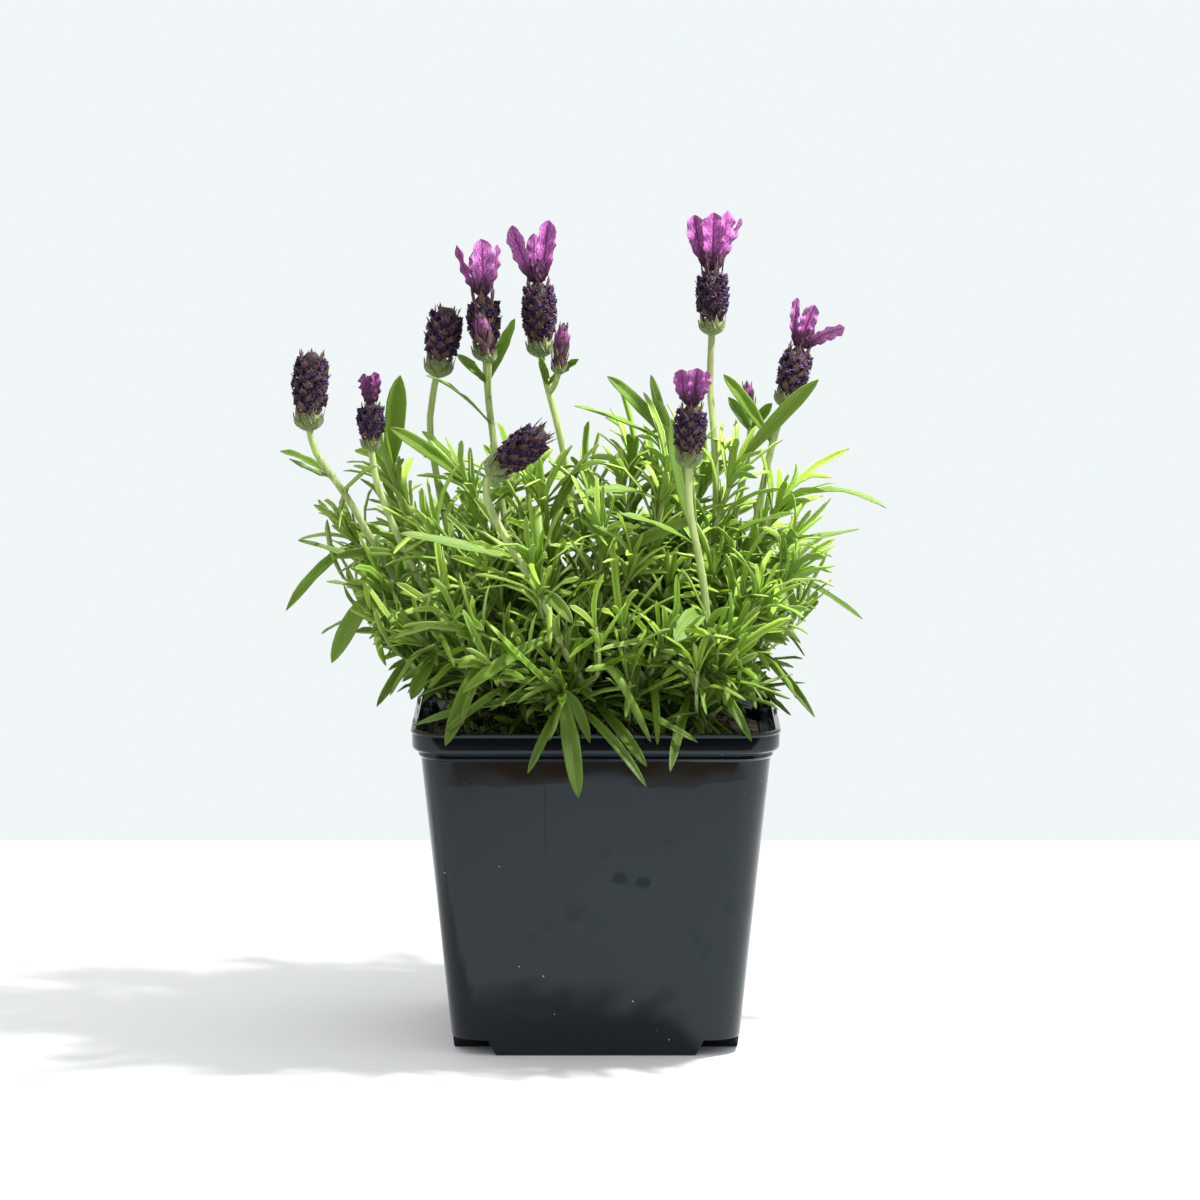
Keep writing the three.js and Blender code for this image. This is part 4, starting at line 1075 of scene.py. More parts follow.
class Skeleton:
    """The points and lines that the growth tree turns into one piece of the plant."""

    VECTORS = ("root", "bend", "tip", "side", "form", "size", "style", "tint")

    def __init__(self):
        self.points = []
        self.edges = []
        self.numbers = {"kind": [], "thickness": [], "twist": []}
        self.vectors = {name: [] for name in self.VECTORS}

    def _point(self, place, kind, radius=0.0, twist=0.0, **vectors):
        self.points.append(place)
        self.numbers["kind"].append(kind)
        self.numbers["thickness"].append(radius)
        self.numbers["twist"].append(twist)
        for name in self.VECTORS:
            self.vectors[name].append(vectors.get(name, (0, 0, 0)))

    def tube(self, kind, centres, radii, chance=0.0):
        first = len(self.points)
        for index, (centre, radius) in enumerate(zip(centres, radii)):
            age = index / (len(centres) - 1)
            self._point(centre, kind, radius * MM, tint=(chance, age, 0))
        self.edges += [(first + k, first + k + 1) for k in range(len(centres) - 1)]

    def blade(self, kind, root, bend, tip, side, width, thickness, form, fold, style, tint,
              twist=0.0):
        """A leaf, scale or ear. style is how deep it ruffles, how often, and how ragged it is."""
        depth, count, ragged = style
        self._point(root, kind, twist=twist, root=root * MM, bend=bend * MM, tip=tip * MM,
                    side=side, form=form, size=(width * MM, thickness * MM, fold),
                    style=(depth * MM, count, ragged), tint=tint)

    def floret(self, place, direction, width, chance):
        self._point(place, FLORET, side=direction, size=(width * MM, 0, 0), tint=(chance, 0, 0))

    def grow(self, tree, name, slot, node, stem_hairs=0.0, head_hairs=0.0):
        """Makes the piece with the growth tree and puts it in the place of its solid."""
        look = bpy.context.scene.lavender_plant
        piece = new_object(name, self.points, edges=self.edges)
        attributes = piece.data.attributes
        for label, values in self.numbers.items():
            attributes.new(label, "FLOAT", "POINT").data.foreach_set("value", values)
        for label, values in self.vectors.items():
            flat = [c for value in values for c in value]
            attributes.new(label, "FLOAT_VECTOR", "POINT").data.foreach_set("vector", flat)
        modifier = piece.modifiers.new("growth", "NODES")
        modifier.node_group = tree
        set_inputs(modifier, {"Hair length": look.hair, "Stem hairs": stem_hairs,
                              "Head hairs": head_hairs, "Seed": look.seed})
        freeze(piece)
        for label in (*self.numbers, *self.VECTORS[:-1]):
            if label in piece.data.attributes:
                piece.data.attributes.remove(piece.data.attributes[label])
        settle(piece, slot, node)


# ------------------------------------------------------------ growth rules

def draw(stem, level, leaf, purpose):
    """A repeatable draw between 0 and 1 for a stem, a level on it, a leaf and a purpose. The
    large numbers only mix the bits."""
    full = 0xFFFFFFFF
    h = ((stem + 1) * 0x9E3779B1 ^ (level + 1) * 0x85EBCA77) & full
    h ^= ((leaf + 1) * 0xC2B2AE3D ^ (purpose + 1) * 0x27D4EB2F) & full
    h = (h ^ (h >> 15)) * 0x2C1B3C6D & full
    h = (h ^ (h >> 12)) * 0x297A2D39 & full
    return (h ^ (h >> 15)) / 4294967296


def lerp(low, high, share):
    return low + (high - low) * share


def bent(root, bend, tip, t):
    """A point on the curve that leaves root towards bend and ends at tip."""
    return root * (1 - t) ** 2 + bend * (2 * t * (1 - t)) + tip * t ** 2


class Path:
    """A smooth curve through points, measured along its length."""

    STEPS = 200

    def __init__(self, points):
        self.points = [Vector(p) for p in points]
        samples = [self.place(k / self.STEPS) for k in range(self.STEPS + 1)]
        self.lengths = [0.0]
        for before, after in zip(samples, samples[1:]):
            self.lengths.append(self.lengths[-1] + (after - before).length)

    def place(self, t):
        points = self.points
        spot = (len(points) - 1) * t
        index = min(int(spot), len(points) - 2)
        weight = spot - index
        p1, p2 = points[index], points[index + 1]
        p0 = points[index - 1] if index > 0 else p1 * 2 - p2
        p3 = points[index + 2] if index + 2 < len(points) else p2 * 2 - p1
        t0, t1 = (p2 - p0) * 0.5, (p3 - p1) * 0.5
        square, cube = weight ** 2, weight ** 3
        return (p1 + t0 * weight + (p1 * -3 + p2 * 3 - t0 * 2 - t1) * square
                + (p1 * 2 - p2 * 2 + t0 + t1) * cube)

    def at(self, share):
        """The point at a share of the length, and the direction there."""
        goal = share * self.lengths[-1]
        index = min(bisect.bisect_right(self.lengths, goal), self.STEPS) - 1
        stretch = self.lengths[index + 1] - self.lengths[index]
        t = min(1.0, (index + (goal - self.lengths[index]) / stretch) / self.STEPS)
        axis = self.place(min(1.0, t + 1e-4)) - self.place(max(0.0, t - 1e-4))
        return self.place(t), axis.normalized()


class Sprig:
    """A stem or a branch: its path, how its section is turned and what it grows into."""

    def __init__(self, points, spin, seed, skeleton, youth_from=0.0):
        self.path = Path(points)
        self.spin = spin
        self.seed = seed
        self.skeleton = skeleton
        self.youth_from = youth_from

    def frame(self, share):
        centre, axis = self.path.at(share)
        across = (Vector((1, 0, 0)) - axis * axis.x).normalized()
        second = axis.cross(across)
        turn = Quaternion(axis, self.spin)
        return centre, axis, turn @ across, turn @ second

    def leaf(self, share, azimuth, splay, length, arch=0.25):
        """A leaf springing from the stem: root, bend, tip and sideways direction."""
        root, axis, first, second = self.frame(share)
        outward = first * math.cos(azimuth) + second * math.sin(azimuth)

        def reach(angle, distance):
            return root + axis * math.cos(angle) * distance + outward * math.sin(angle) * distance
        bend = reach(splay * (1 - arch), length * 0.5)
        tip = reach(splay * (1 + 0.6 * arch), length) - UP * (length * 0.1)
        return root, bend, tip, axis.cross(outward)


class Stem(Sprig):
    """A stem of the plant, which stands in for one of its solids."""

    def __init__(self, node, seed, points, half, taper, spin, youth_from, shares):
        direction = (points[0] - points[1]).normalized()
        foot = points[0] + direction * (HOLE_DEPTH - 1)
        super().__init__([foot, *points], spin, seed, Skeleton(), youth_from)
        self.node = node
        self.half = half
        self.taper = taper
        self.shares = shares
        self.corners = corners_of(node)

    def holds(self, tip):
        """Whether the stem's solid has a leaf that ends at this tip."""
        return self.corners.find(tip * MM)[2] < 3e-5

    def poses(self, level, leaf, share):
        """The poses that the solids try for one leaf of a pair."""
        youth = self.youth_from + (1 - self.youth_from) * share
        chance = [draw(self.seed, level, leaf, purpose) for purpose in range(4)]
        azimuth = level * math.pi / 2 + leaf * math.pi + (chance[0] - 0.5) * 0.4
        splay = lerp(*PAIRS["splay"], youth) + (chance[1] - 0.5) * 0.35
        length = lerp(*PAIRS["length"], youth) * (0.85 + 0.3 * chance[2])
        width = lerp(*PAIRS["width"], youth) * (0.85 + 0.3 * chance[3])
        for attempt in range(POSES_TRIED):
            turn = 0.17 * math.ceil(attempt / 2) * (1 if attempt % 2 else -1)
            lift = 0.06 * attempt * (-1 if attempt % 2 else 1)
            yield (*self.leaf(share, azimuth + turn, splay + lift, length * (1 - 0.045 * attempt)),
                   width)


def corners_of(node):
    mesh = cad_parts[node].data
    tree = KDTree(len(mesh.vertices))
    for vertex in mesh.vertices:
        tree.insert(vertex.co, vertex.index)
    tree.balance()
    return tree


def shoot_points(end):
    end = Vector(end)
    root = Vector((max(-47, min(47, end.x * 0.5)), max(-46, min(46, end.y * 0.58)), SOIL_TOP))
    rise = end.z - SOIL_TOP
    low = root.lerp(end, 0.2)
    low.z = SOIL_TOP + rise * 0.3 + 5
    high = root.lerp(end, 0.62)
    high.z = SOIL_TOP + rise * 0.68 + 4
    return [root, low, high, end]


def all_stems():
    stems = []
    for number, (points, head, _) in FLOWER_STEMS.items():
        path = [Vector(p) for p in (*points, HEADS[head][0])]
        stems.append(Stem(f"flower_stem_{number:02d}", number, path, FLOWER_STEM_HALF, 1,
                          draw(number, 0, 0, 7), 0.15, PAIR_PLACES["flower"]))
    for index, end in enumerate(SHOOT_ENDS):
        seed = index + 21
        stems.append(Stem(f"leafy_shoot_{index + 1:02d}", seed, shoot_points(end), SHOOT_STEM_HALF,
                          SHOOT_TAPER, draw(seed, 0, 0, 7) * math.pi / 2, 0, PAIR_PLACES["shoot"]))
    add_large_leaves(stems)
    return stems


def add_large_leaves(stems):
    """The large single leaves, each on the stem that comes nearest to where it starts."""
    for number, (start, end, width, arch, facing) in enumerate(LARGE_LEAVES):
        start = Vector(start)
        spots = ((stem.path.at(step / 60)[0], stem) for stem in stems for step in range(12, 61))
        root, stem = min(spots, key=lambda pair: (pair[0] - start).length)
        for attempt in range(POSES_TRIED):
            sway = 2.2 * math.ceil(attempt / 2) * (-1 if attempt % 2 else 1)
            tip = Vector(end) + Vector((0, sway, 0))
            if not stem.holds(tip):
                continue
            bend = root.lerp(tip, 0.5) + Vector((0, sway * 0.5, arch + attempt * 0.5))
            side = FACING[facing].cross(tip - root).normalized()
            chance = draw(200, number, 0, 1)
            fold = 0.3 if width > 4.5 else 0.45
            crinkled = end[2] > CRINKLED_FROM
            wavy = (1.3, 4.2, 0.3) if crinkled else (0.45, 2.3, 0.08)
            slim = crinkled or end[2] < HANGING_BELOW
            width *= SLIM_WIDTH_SHARE if slim else LEAF_WIDTH_SHARE
            stem.skeleton.blade(LEAF, root, bend, tip, side, width, 0.55,
                                (9, 0.52, min(0.3, 1.2 / width)), fold, wavy,
                                (chance * 0.6, 0, 0.3 + 0.7 * draw(200, number, 0, 2)),
                                (chance - 0.5) * 0.5)
            break


def add_leaf_pairs(stem):
    """The pairs of leaves that the stem's solid holds."""
    for level, share in enumerate(stem.shares):
        for leaf in range(2):
            for root, bend, tip, side, width in stem.poses(level, leaf, share):
                if stem.holds(tip):
                    chance = draw(stem.seed, level, leaf, 11)
                    stem.skeleton.blade(LEAF, root, bend, tip, side, width * LEAF_WIDTH_SHARE,
                                        0.5, PAIR_FORM, 0.45, (0.2, 1.8, 0.06),
                                        (chance, 0.3 + 0.5 * share, 0), (chance - 0.5) * 1.2)
                    break


def is_free(root, bend, tip):
    """Whether a leaf keeps clear of the pot and the soil and inside the bush."""
    for t in (0.2, 0.4, 0.6, 0.8, 1.0):
        p = bent(root, bend, tip, t)
        wide = max(abs(p.x), abs(p.y))
        if RIM_ZONE[0] < wide < RIM_ZONE[1] and p.z < POT_HEIGHT + 1.8:
            return False
        if not (LOWEST_INSIDE if wide < 60 else LOWEST_OUTSIDE) <= p.z <= BUSH_TOP:
            return False
        rise = max(0.0, p.z - 120)
        if not -min(106, 70 + 0.5 * rise) < p.x < min(98, 74 + 0.25 * rise):
            return False
        if not BUSH_DEPTH[0] < p.y < BUSH_DEPTH[1]:
            return False
    return True


def add_small_leaf(sprig, share, azimuth, splay, length, width, seed):
    """A small leaf, if it has room. seed is the level and the place that its draws come from."""
    chance = [draw(sprig.seed, *seed, purpose) for purpose in range(20, 26)]
    length *= 0.65 + 0.75 * chance[3]
    root, bend, tip, side = sprig.leaf(share, azimuth, splay, length, 0.08 + 0.9 * chance[0] ** 2)
    bend = bend + side * (length * 0.3 * (chance[5] - 0.5)) + UP * (length * 0.22 * (1 - chance[2]))
    tip = tip + side * (length * 0.5 * (chance[1] - 0.5))
    tip = tip + UP * (length * 0.45 * (chance[2] - lerp(0.7, 0.3, share)))
    if is_free(root, bend, tip):
        youth = sprig.youth_from + (1 - sprig.youth_from) * share
        sprig.skeleton.blade(SMALL_LEAF, root, bend, tip, side, width, 0.45, SMALL_FORM,
                             (0.35 + 0.4 * chance[3]) * (1 if chance[2] > 0.45 else -1),
                             (0.15, 1.5, 0.05), (chance[4], youth, 0.6 * (chance[1] > 0.75)),
                             (chance[5] - 0.5) * 2.2)


def add_node(sprig, share, turn, length, width, tuft, level):
    """A pair of leaves at a node, with a tuft of smaller ones in each axil."""
    for leaf in range(2):
        chance = [draw(sprig.seed, level, leaf, purpose) for purpose in range(4)]
        azimuth = turn + leaf * math.pi + (chance[0] - 0.5) * 0.8
        splay = lerp(1.2, 0.5, share) + (chance[1] - 0.5) * 0.6
        add_small_leaf(sprig, share, azimuth, splay, length * (0.75 + 0.5 * chance[2]),
                       width * (0.85 + 0.3 * chance[3]), (level, leaf))
        for k in range(tuft):
            more = [draw(sprig.seed, level, 10 + leaf * 20 + k, purpose) for purpose in range(4)]
            add_small_leaf(sprig, min(1, share + 0.004 * k), azimuth + (more[0] - 0.5) * 2.6,
                           splay * (0.3 + 0.8 * more[1]), length * (0.4 + 0.35 * more[2]),
                           width * (0.6 + 0.25 * more[3]), (level, 10 + leaf * 20 + k))


def add_rosette(sprig, count, length, width):
    """The young leaves that stand close together at a shoot's end."""
    for k in range(count):
        chance = [draw(sprig.seed, 120, k, purpose) for purpose in range(3)]
        open_share = (k + 1) / count
        add_small_leaf(sprig, 1 - 0.08 * open_share, k * 2.4 + chance[0] * 0.5,
                       0.1 + 0.6 * open_share, length * (0.55 + 0.45 * open_share)
                       * (0.85 + 0.3 * chance[1]), width * (0.7 + 0.3 * open_share), (121, k))


def add_twig(stem, share, azimuth, length, seed):
    """A leafy side shoot, if it has room."""
    start, axis, first, second = stem.frame(share)
    outward = first * math.cos(azimuth) + second * math.sin(azimuth)
    middle = start + (axis * 0.55 + outward * 0.8) * (length * 0.5)
    end = start + (axis * 0.75 + outward * 0.65) * length + UP * (length * 0.12)
    if not is_free(start, middle, end):
        return
    twig = Sprig([start, middle, end], azimuth, seed, stem.skeleton, 0.4)
    shares = [k / BRANCH_STEPS for k in range(BRANCH_STEPS + 1)]
    stem.skeleton.tube(STEM, [twig.path.at(t)[0] for t in shares],
                       [lerp(0.8, 0.5, t) for t in shares], 0.2)
    for level, place in enumerate((0.4, 0.72)):
        add_node(twig, place, level * math.pi / 2, length=25, width=2.8, tuft=1, level=level)
    add_rosette(twig, count=6, length=22, width=2.6)


def add_foliage(stem, kind):
    """The smaller leaves and leafy side shoots of a stem, between the solid's own leaves."""
    for level, share in enumerate(FOLIAGE_PLACES[kind]):
        youth = stem.youth_from + (1 - stem.youth_from) * share
        add_node(stem, share, (level + 0.5) * math.pi / 2, lerp(36, 27, youth),
                 lerp(3.1, 2.7, youth), TUFT, level + 40)
    for index, share in enumerate(TWIG_PLACES[kind]):
        chance = [draw(stem.seed, 150, index, purpose) for purpose in range(2)]
        add_twig(stem, share, index * 2.4 + chance[0] * 1.5 + stem.seed, lerp(36, 20, share)
                 * (0.8 + 0.4 * chance[1]), stem.seed * 40 + index)


def turned(axis):
    """The turn that lays +Z on an axis."""
    return UP.rotation_difference(axis)


def add_cup(skeleton, head):
    """The pointed green scales under a head."""
    base, top, r, _, bud = head
    base = Vector(base)
    turn = turned((Vector(top) - base).normalized())
    profile = ((0.2, -0.34), (0.36, -0.26), (0.5, -0.08), (0.6, 0.16), (0.62, 0.4), (0.5, 0.6))
    skeleton.tube(BOWL, [base + turn @ (UP * (height * r)) for _, height in profile],
                  [r * share for share, _ in profile])
    columns = 8 if bud else 10
    for ring in range(2):
        for k in range(columns):
            angle = (k + ring * 0.5) / columns * math.tau
            out = Vector((math.cos(angle), math.sin(angle), 0))
            tall = (0.9 if (k + ring) % 2 == 0 else 0.6) - ring * 0.3
            root = out * 1.0 + UP * (-0.32 * r)
            bend = out * (r * 0.74) + UP * (-0.18 * r)
            tip = out * (r * 0.8) + UP * (tall * r)
            skeleton.blade(CUP, base + turn @ root, base + turn @ bend, base + turn @ tip,
                           turn @ out.cross(UP), r * 0.66, 0.4, CUP_FORM, -0.2,
                           (0.1, 1, 0.12), (draw(int(r * 10), ring, k, 5), 0.5, 0))


def add_stem_tube(stem, number):
    """A stem with a knot at each pair of leaves. Only flowering stems have a number."""
    shares = [k / STEM_STEPS for k in range(STEM_STEPS + 1)]
    centres = [stem.path.at(share)[0] for share in shares]
    radii = [stem.half * ROUNDED_SHARE * lerp(1, stem.taper, share) for share in shares]
    for share in stem.shares:
        radii[round(share * STEM_STEPS)] *= 1.2
    chance = draw(stem.seed, 7, 7, 7)
    if number:
        chance = 0.9 if number in BROWN_STEMS else 0.3
    stem.skeleton.tube(STEM, centres, radii, chance)


def add_side_branch(stem, base):
    """The branch that carries a side bud."""
    fork = stem.path.at(FORK_SHARE)[0]
    middle = fork.lerp(base, 0.8)
    middle.z = fork.z + (base.z - fork.z) * 0.35
    centres = [bent(fork, middle, base, k / BRANCH_STEPS) for k in range(BRANCH_STEPS + 1)]
    stem.skeleton.tube(STEM, centres, [BRANCH_HALF * ROUNDED_SHARE] * len(centres), 0.2)


class Head:
    """A flower head: its size, its tiers of scales and the spots around it."""

    def __init__(self, number):
        base, top, self.radius, self.ragged, self.bud = HEADS[number]
        self.number = number
        self.base = Vector(base)
        axis = Vector(top) - self.base
        self.length = axis.length
        self.turn = turned(axis.normalized())
        self.columns = 8 if self.bud else 12
        self.foot = self.radius * 0.24 + 0.3
        self.start = self.foot + self.radius * 0.66
        pitch = SCALE_PITCH["bud" if self.bud else "flower"]
        self.tiers = max(3, round((self.length - self.start) / pitch))
        self.pitch = (self.length - self.start) / self.tiers

    def place(self, radius, angle, z):
        across = Vector((radius * math.cos(angle), radius * math.sin(angle), z))
        return self.base + self.turn @ across

    def outward(self, angle, rise=0):
        return self.turn @ Vector((math.cos(angle), math.sin(angle), rise))

    def is_last(self, tier):
        return tier == self.tiers - 1

    def share(self, tier):
        """How far up the head a tier is."""
        return max(0.0, (tier + 0.5) / self.tiers)

    def radii(self, tier):
        """The radius over a tier's scales, and the core's radius there."""
        swell = head_swell(self.share(tier), self.bud) * (0.88 if tier < 0 else 1)
        closing = 0.9 if self.is_last(tier) and not self.bud else 1
        return self.radius * swell * closing, self.radius * swell * CORE_SHARE


def add_head(skeleton, number):
    """A slim core, tiers of pointed scales and the florets between them."""
    head = Head(number)
    add_core(skeleton, head)
    for tier in range(-1, head.tiers):
        for column in range(head.columns):
            chance = [draw(number + 300, tier + 1, column, purpose) for purpose in range(8)]
            angle = column / head.columns * math.tau + (chance[0] - 0.5) * 0.3
            z = head.start + tier * head.pitch + (chance[6] - 0.5) * head.pitch * 0.4
            if column % 2 == tier % 2:
                add_scales(skeleton, head, tier, angle, z, chance)
            elif not head.bud and tier >= 0 and head.share(tier) < 0.9:
                add_florets(skeleton, head, tier, angle, z, chance)
    if head.bud:
        add_closed_ears(skeleton, head)


def add_core(skeleton, head):
    """The slim body that the scales stand on."""
    spots, radii = [], []
    for tier in range(-1, head.tiers + 1):
        share = max(0.0, min(1.0, (tier + 0.5) / head.tiers))
        z = max(head.foot, min(head.length, head.start + tier * head.pitch))
        spots.append(head.place(0, 0, z))
        narrowing = 0.45 if tier in (-1, head.tiers) else 0.98
        radii.append(head.radius * head_swell(share, head.bud) * CORE_SHARE * narrowing)
    skeleton.tube(CORE, spots, radii)


def add_scales(skeleton, head, tier, angle, z, chance):
    """A pointed scale, with a smaller one on each side."""
    last = head.is_last(tier)
    pitch = head.pitch
    lift = head.ragged if last else pitch * 0.25
    radius, core = head.radii(tier)
    side = head.outward(angle).cross(head.turn @ UP)
    flare = 0.7 if head.bud or last else 1.0
    reach = radius * (0.88 + 0.18 * chance[1] * flare)
    root = head.place(core * 0.7, angle, max(z - pitch * 0.8, head.foot * 0.7))
    bend = head.place(radius * 0.88, angle, z - pitch * 0.2)
    tip = head.place(reach, angle, z + pitch * 0.8 + lift)
    wide = math.tau * core / head.columns * 2 * (0.7 if last else 0.86)
    share, faded = head.share(tier), FADING[head.number]
    skeleton.blade(SCALE, root, bend, tip, side, wide, 0.35, SCALE_FORM, -0.3, (0.3, 2.5, 0.3),
                   (chance[2], share, faded))
    for k in (-1, 1):
        height = z + pitch * (0.35 + 0.3 * chance[4 + k]) + lift * 0.8
        beside = head.place(radius * (0.9 + 0.08 * chance[3]), angle + k * 0.3, height)
        skeleton.blade(SCALE, root, bend, beside, side, wide * 0.55, 0.3, SCALE_FORM, -0.2,
                       (0.2, 2.5, 0.3), (chance[3 + k], share, faded))


def add_florets(skeleton, head, tier, angle, z, chance):
    """Two florets that look out between the scales."""
    radius, _ = head.radii(tier)
    for k in range(2):
        away = angle + (k - 0.5) * 0.3 + (chance[4] - 0.5) * 0.3
        where = head.place(radius * (0.76 + 0.1 * chance[5 - k]), away,
                           z + head.pitch * (0.2 + 0.45 * k + 0.2 * chance[3]))
        skeleton.floret(where, head.outward(away, 0.5 - 0.9 * chance[4]),
                        1.9 + 0.9 * chance[2 + k], chance[k])


def head_swell(share, bud):
    """A head's radius at a share of its height, beside its widest radius."""
    closing = 0.5 * share ** 2 if bud else 0.12 * share ** 3
    return 0.84 + 0.16 * math.sin(math.pi * share) - closing


def add_closed_ears(skeleton, head):
    """The folded ears that close a bud in a point."""
    for k in range(7):
        angle = k / 7 * math.tau * 2 + 0.3
        side = head.outward(angle).cross(head.turn @ UP)
        root = head.place(head.radius * 0.5, angle, head.length * (0.36 + 0.02 * k))
        bend = head.place(head.radius * 0.98, angle + 0.2, head.length * 0.72)
        tip = head.place(head.radius * 0.1, angle + 0.5, head.length * (0.94 + 0.02 * (k % 3)))
        skeleton.blade(EAR, root, bend, tip, side, head.radius * 1.05, 0.3, CLOSED_EAR_FORM,
                       -0.5, (0.15, 2, 0.1), (draw(head.number, k, 3, 3), 1, 0.2))


def add_crown(skeleton, number):
    """The ear-like bracts on a head and the dark scales that they spring from."""
    base, top = Vector(HEADS[number][0]), Vector(HEADS[number][1])
    turn = turned((top - base).normalized())
    for index, (bend, tip, width) in enumerate(CROWNS[number]):
        bend, tip = Vector(bend), Vector(tip)
        outward = Vector((bend.x, bend.y, 0)).normalized()
        root = outward * 1.8 + UP * 0.5
        facing = outward.copy()
        facing.y += BRACT_TURN if outward.y > 0.5 else -BRACT_TURN
        side = facing.cross(tip - root).normalized()
        chance = draw(number + 500, index, 0, 1)
        skeleton.blade(EAR, top + turn @ root, top + turn @ bend, top + turn @ tip, turn @ side,
                       width * 0.98, 0.28, EAR_FORM, 0.35, (0.75, 3.9, 0.35),
                       (chance, CROWN_TONES[number], 0), (chance - 0.5) * 0.8)
    for k in range(8):
        chance = [draw(number + 540, k, 0, purpose) for purpose in range(3)]
        angle = k * 2.4 + chance[0]
        out = turn @ Vector((math.cos(angle), math.sin(angle), 0))
        bend = top + out * 2.6 + turn @ UP * (3 + chance[1])
        tip = top + out * (1.5 + 2.4 * chance[1]) + turn @ UP * (6 + 4 * chance[2])
        skeleton.blade(EAR, top + out * 1.6, bend, tip, out.cross(turn @ UP), 3.4, 0.3,
                       HUSK_FORM, 0.2, (0.4, 2.5, 0.3),
                       (chance[0], 0.9, 0.75 + 0.25 * chance[1]))
    for k in range(12):
        chance = [draw(number + 520, k, 0, purpose) for purpose in range(3)]
        angle = k * 2.4
        out = turn @ Vector((math.cos(angle), math.sin(angle), 0))
        root = top + out * 1.0
        bend = top + out * (2.4 + chance[0]) + turn @ UP * 2
        tip = top + out * (1.8 + 2.0 * chance[1]) + turn @ UP * (3.4 + 3.8 * chance[2])
        skeleton.blade(SCALE, root, bend, tip, out.cross(turn @ UP), 2.4, 0.3, CUP_FORM, -0.2,
                       (0.1, 1, 0.1), (chance[0], 1, 0))


# ------------------------------------------------------------ pot and soil

def rounded_square(half, radius, z):
    outline = []
    for corner in range(4):
        quadrant = (corner + 0.5) * math.pi / 2
        across = math.copysign(half - radius, math.cos(quadrant))
        along = math.copysign(half - radius, math.sin(quadrant))
        for k in range(CORNER_STEPS + 1):
            angle = (corner + k / CORNER_STEPS) * math.pi / 2
            outline.append((across + radius * math.cos(angle), along + radius * math.sin(angle), z))
    return outline


def pot_ring(half, z):
    return rounded_square(half, CORNER_RADIUS * half / RIM_HALF, z)


def inside_half(z):
    """Half the pot's width inside its wall at a height."""
    share = (z - CORNER_LIFT) / (POT_HEIGHT - BAND_HEIGHT - LEDGE_HEIGHT - CORNER_LIFT)
    return BASE_HALF + (SHOULDER_HALF - BASE_HALF) * share - WALL


def trough(turned_round, inset, bottom):
    """One arm of the plus-shaped lowered floor."""
    face = SKIRT_FACE - inset
    half = SKIRT_HALF - inset
    flare = SKIRT_FLARE * (FLOOR_JOIN - bottom) / CORNER_LIFT
    soft = 0.5 if inset == 0 else 0.0
    levels = [(face - soft, half - soft, bottom), (face, half, bottom + soft),
              (face + 0.6, half + flare, FLOOR_JOIN)]
    rings = []
    for long_half, short_half, z in levels if soft else levels[1:]:
        x, y = (short_half, long_half) if turned_round else (long_half, short_half)
        rings.append([(x, y, z), (-x, y, z), (-x, -y, z), (x, -y, z)])
    return loft("trough", rings)


def cut_with(body, tool, operation):
    modifier = body.modifiers.new(operation, "BOOLEAN")
    modifier.operation = operation
    modifier.solver = "EXACT"
    modifier.object = tool
    freeze(body)
    bpy.data.objects.remove(tool)


def make_pot():
    band_bottom = POT_HEIGHT - BAND_HEIGHT
    ledge_bottom = band_bottom - LEDGE_HEIGHT
    outside = [
        (BASE_HALF - 1.1, CORNER_LIFT), (BASE_HALF - 0.35, CORNER_LIFT + 0.25),
        (BASE_HALF, CORNER_LIFT + 1.2), (SHOULDER_HALF, ledge_bottom - 0.3),
        (SHOULDER_HALF + 0.5, ledge_bottom + 0.2), (SHOULDER_HALF + 0.9, ledge_bottom + 0.8),
        (SHOULDER_HALF + 0.9, band_bottom - 0.2), (SHOULDER_HALF + 1.2, band_bottom + 0.2),
        (RIM_HALF - 0.6, band_bottom + 0.7), (RIM_HALF - 0.15, band_bottom + 1.3),
        (RIM_HALF, band_bottom + 2.2), (RIM_HALF + 0.1, POT_HEIGHT - 1.4),
        (RIM_HALF + LIP - 0.1, POT_HEIGHT - 1.0), (RIM_HALF + LIP, POT_HEIGHT - 0.6),
        (RIM_HALF + LIP - 0.15, POT_HEIGHT - 0.15), (RIM_HALF + LIP - 0.45, POT_HEIGHT),
    ]
    inside = [
        (RIM_HALF - WALL + 0.3, POT_HEIGHT), (RIM_HALF - WALL, POT_HEIGHT - 0.3),
        (RIM_HALF - WALL - 0.3, band_bottom + 1.6), (inside_half(ledge_bottom), ledge_bottom + 0.6),
        (inside_half(CORNER_LIFT + WALL), CORNER_LIFT + WALL),
    ]
    pot = loft("square_pot", [pot_ring(half, z) for half, z in (*outside, *inside)])
    for turned_round in (False, True):
        cut_with(pot, trough(turned_round, 0, 0), "UNION")
    for turned_round in (False, True):
        cut_with(pot, trough(turned_round, WALL, WALL + 0.1), "DIFFERENCE")
    for x, y in ((1, 1), (-1, 1), (-1, -1), (1, -1)):
        ring = [(x * DRAIN_PLACE + DRAIN_RADIUS * math.cos(k / 24 * math.tau),
                 y * DRAIN_PLACE + DRAIN_RADIUS * math.sin(k / 24 * math.tau)) for k in range(24)]
        drill = loft("drill", [[(*p, z) for p in ring] for z in (CORNER_LIFT - 2, CORNER_LIFT + 4)])
        cut_with(pot, drill, "DIFFERENCE")
    pot.data.shade_smooth()
    pot.data.set_sharp_from_angle(angle=math.radians(32))
    pot.data.materials.clear()
    pot.data.materials.append(plastic_finish())
    settle(pot, "pot", "pot")


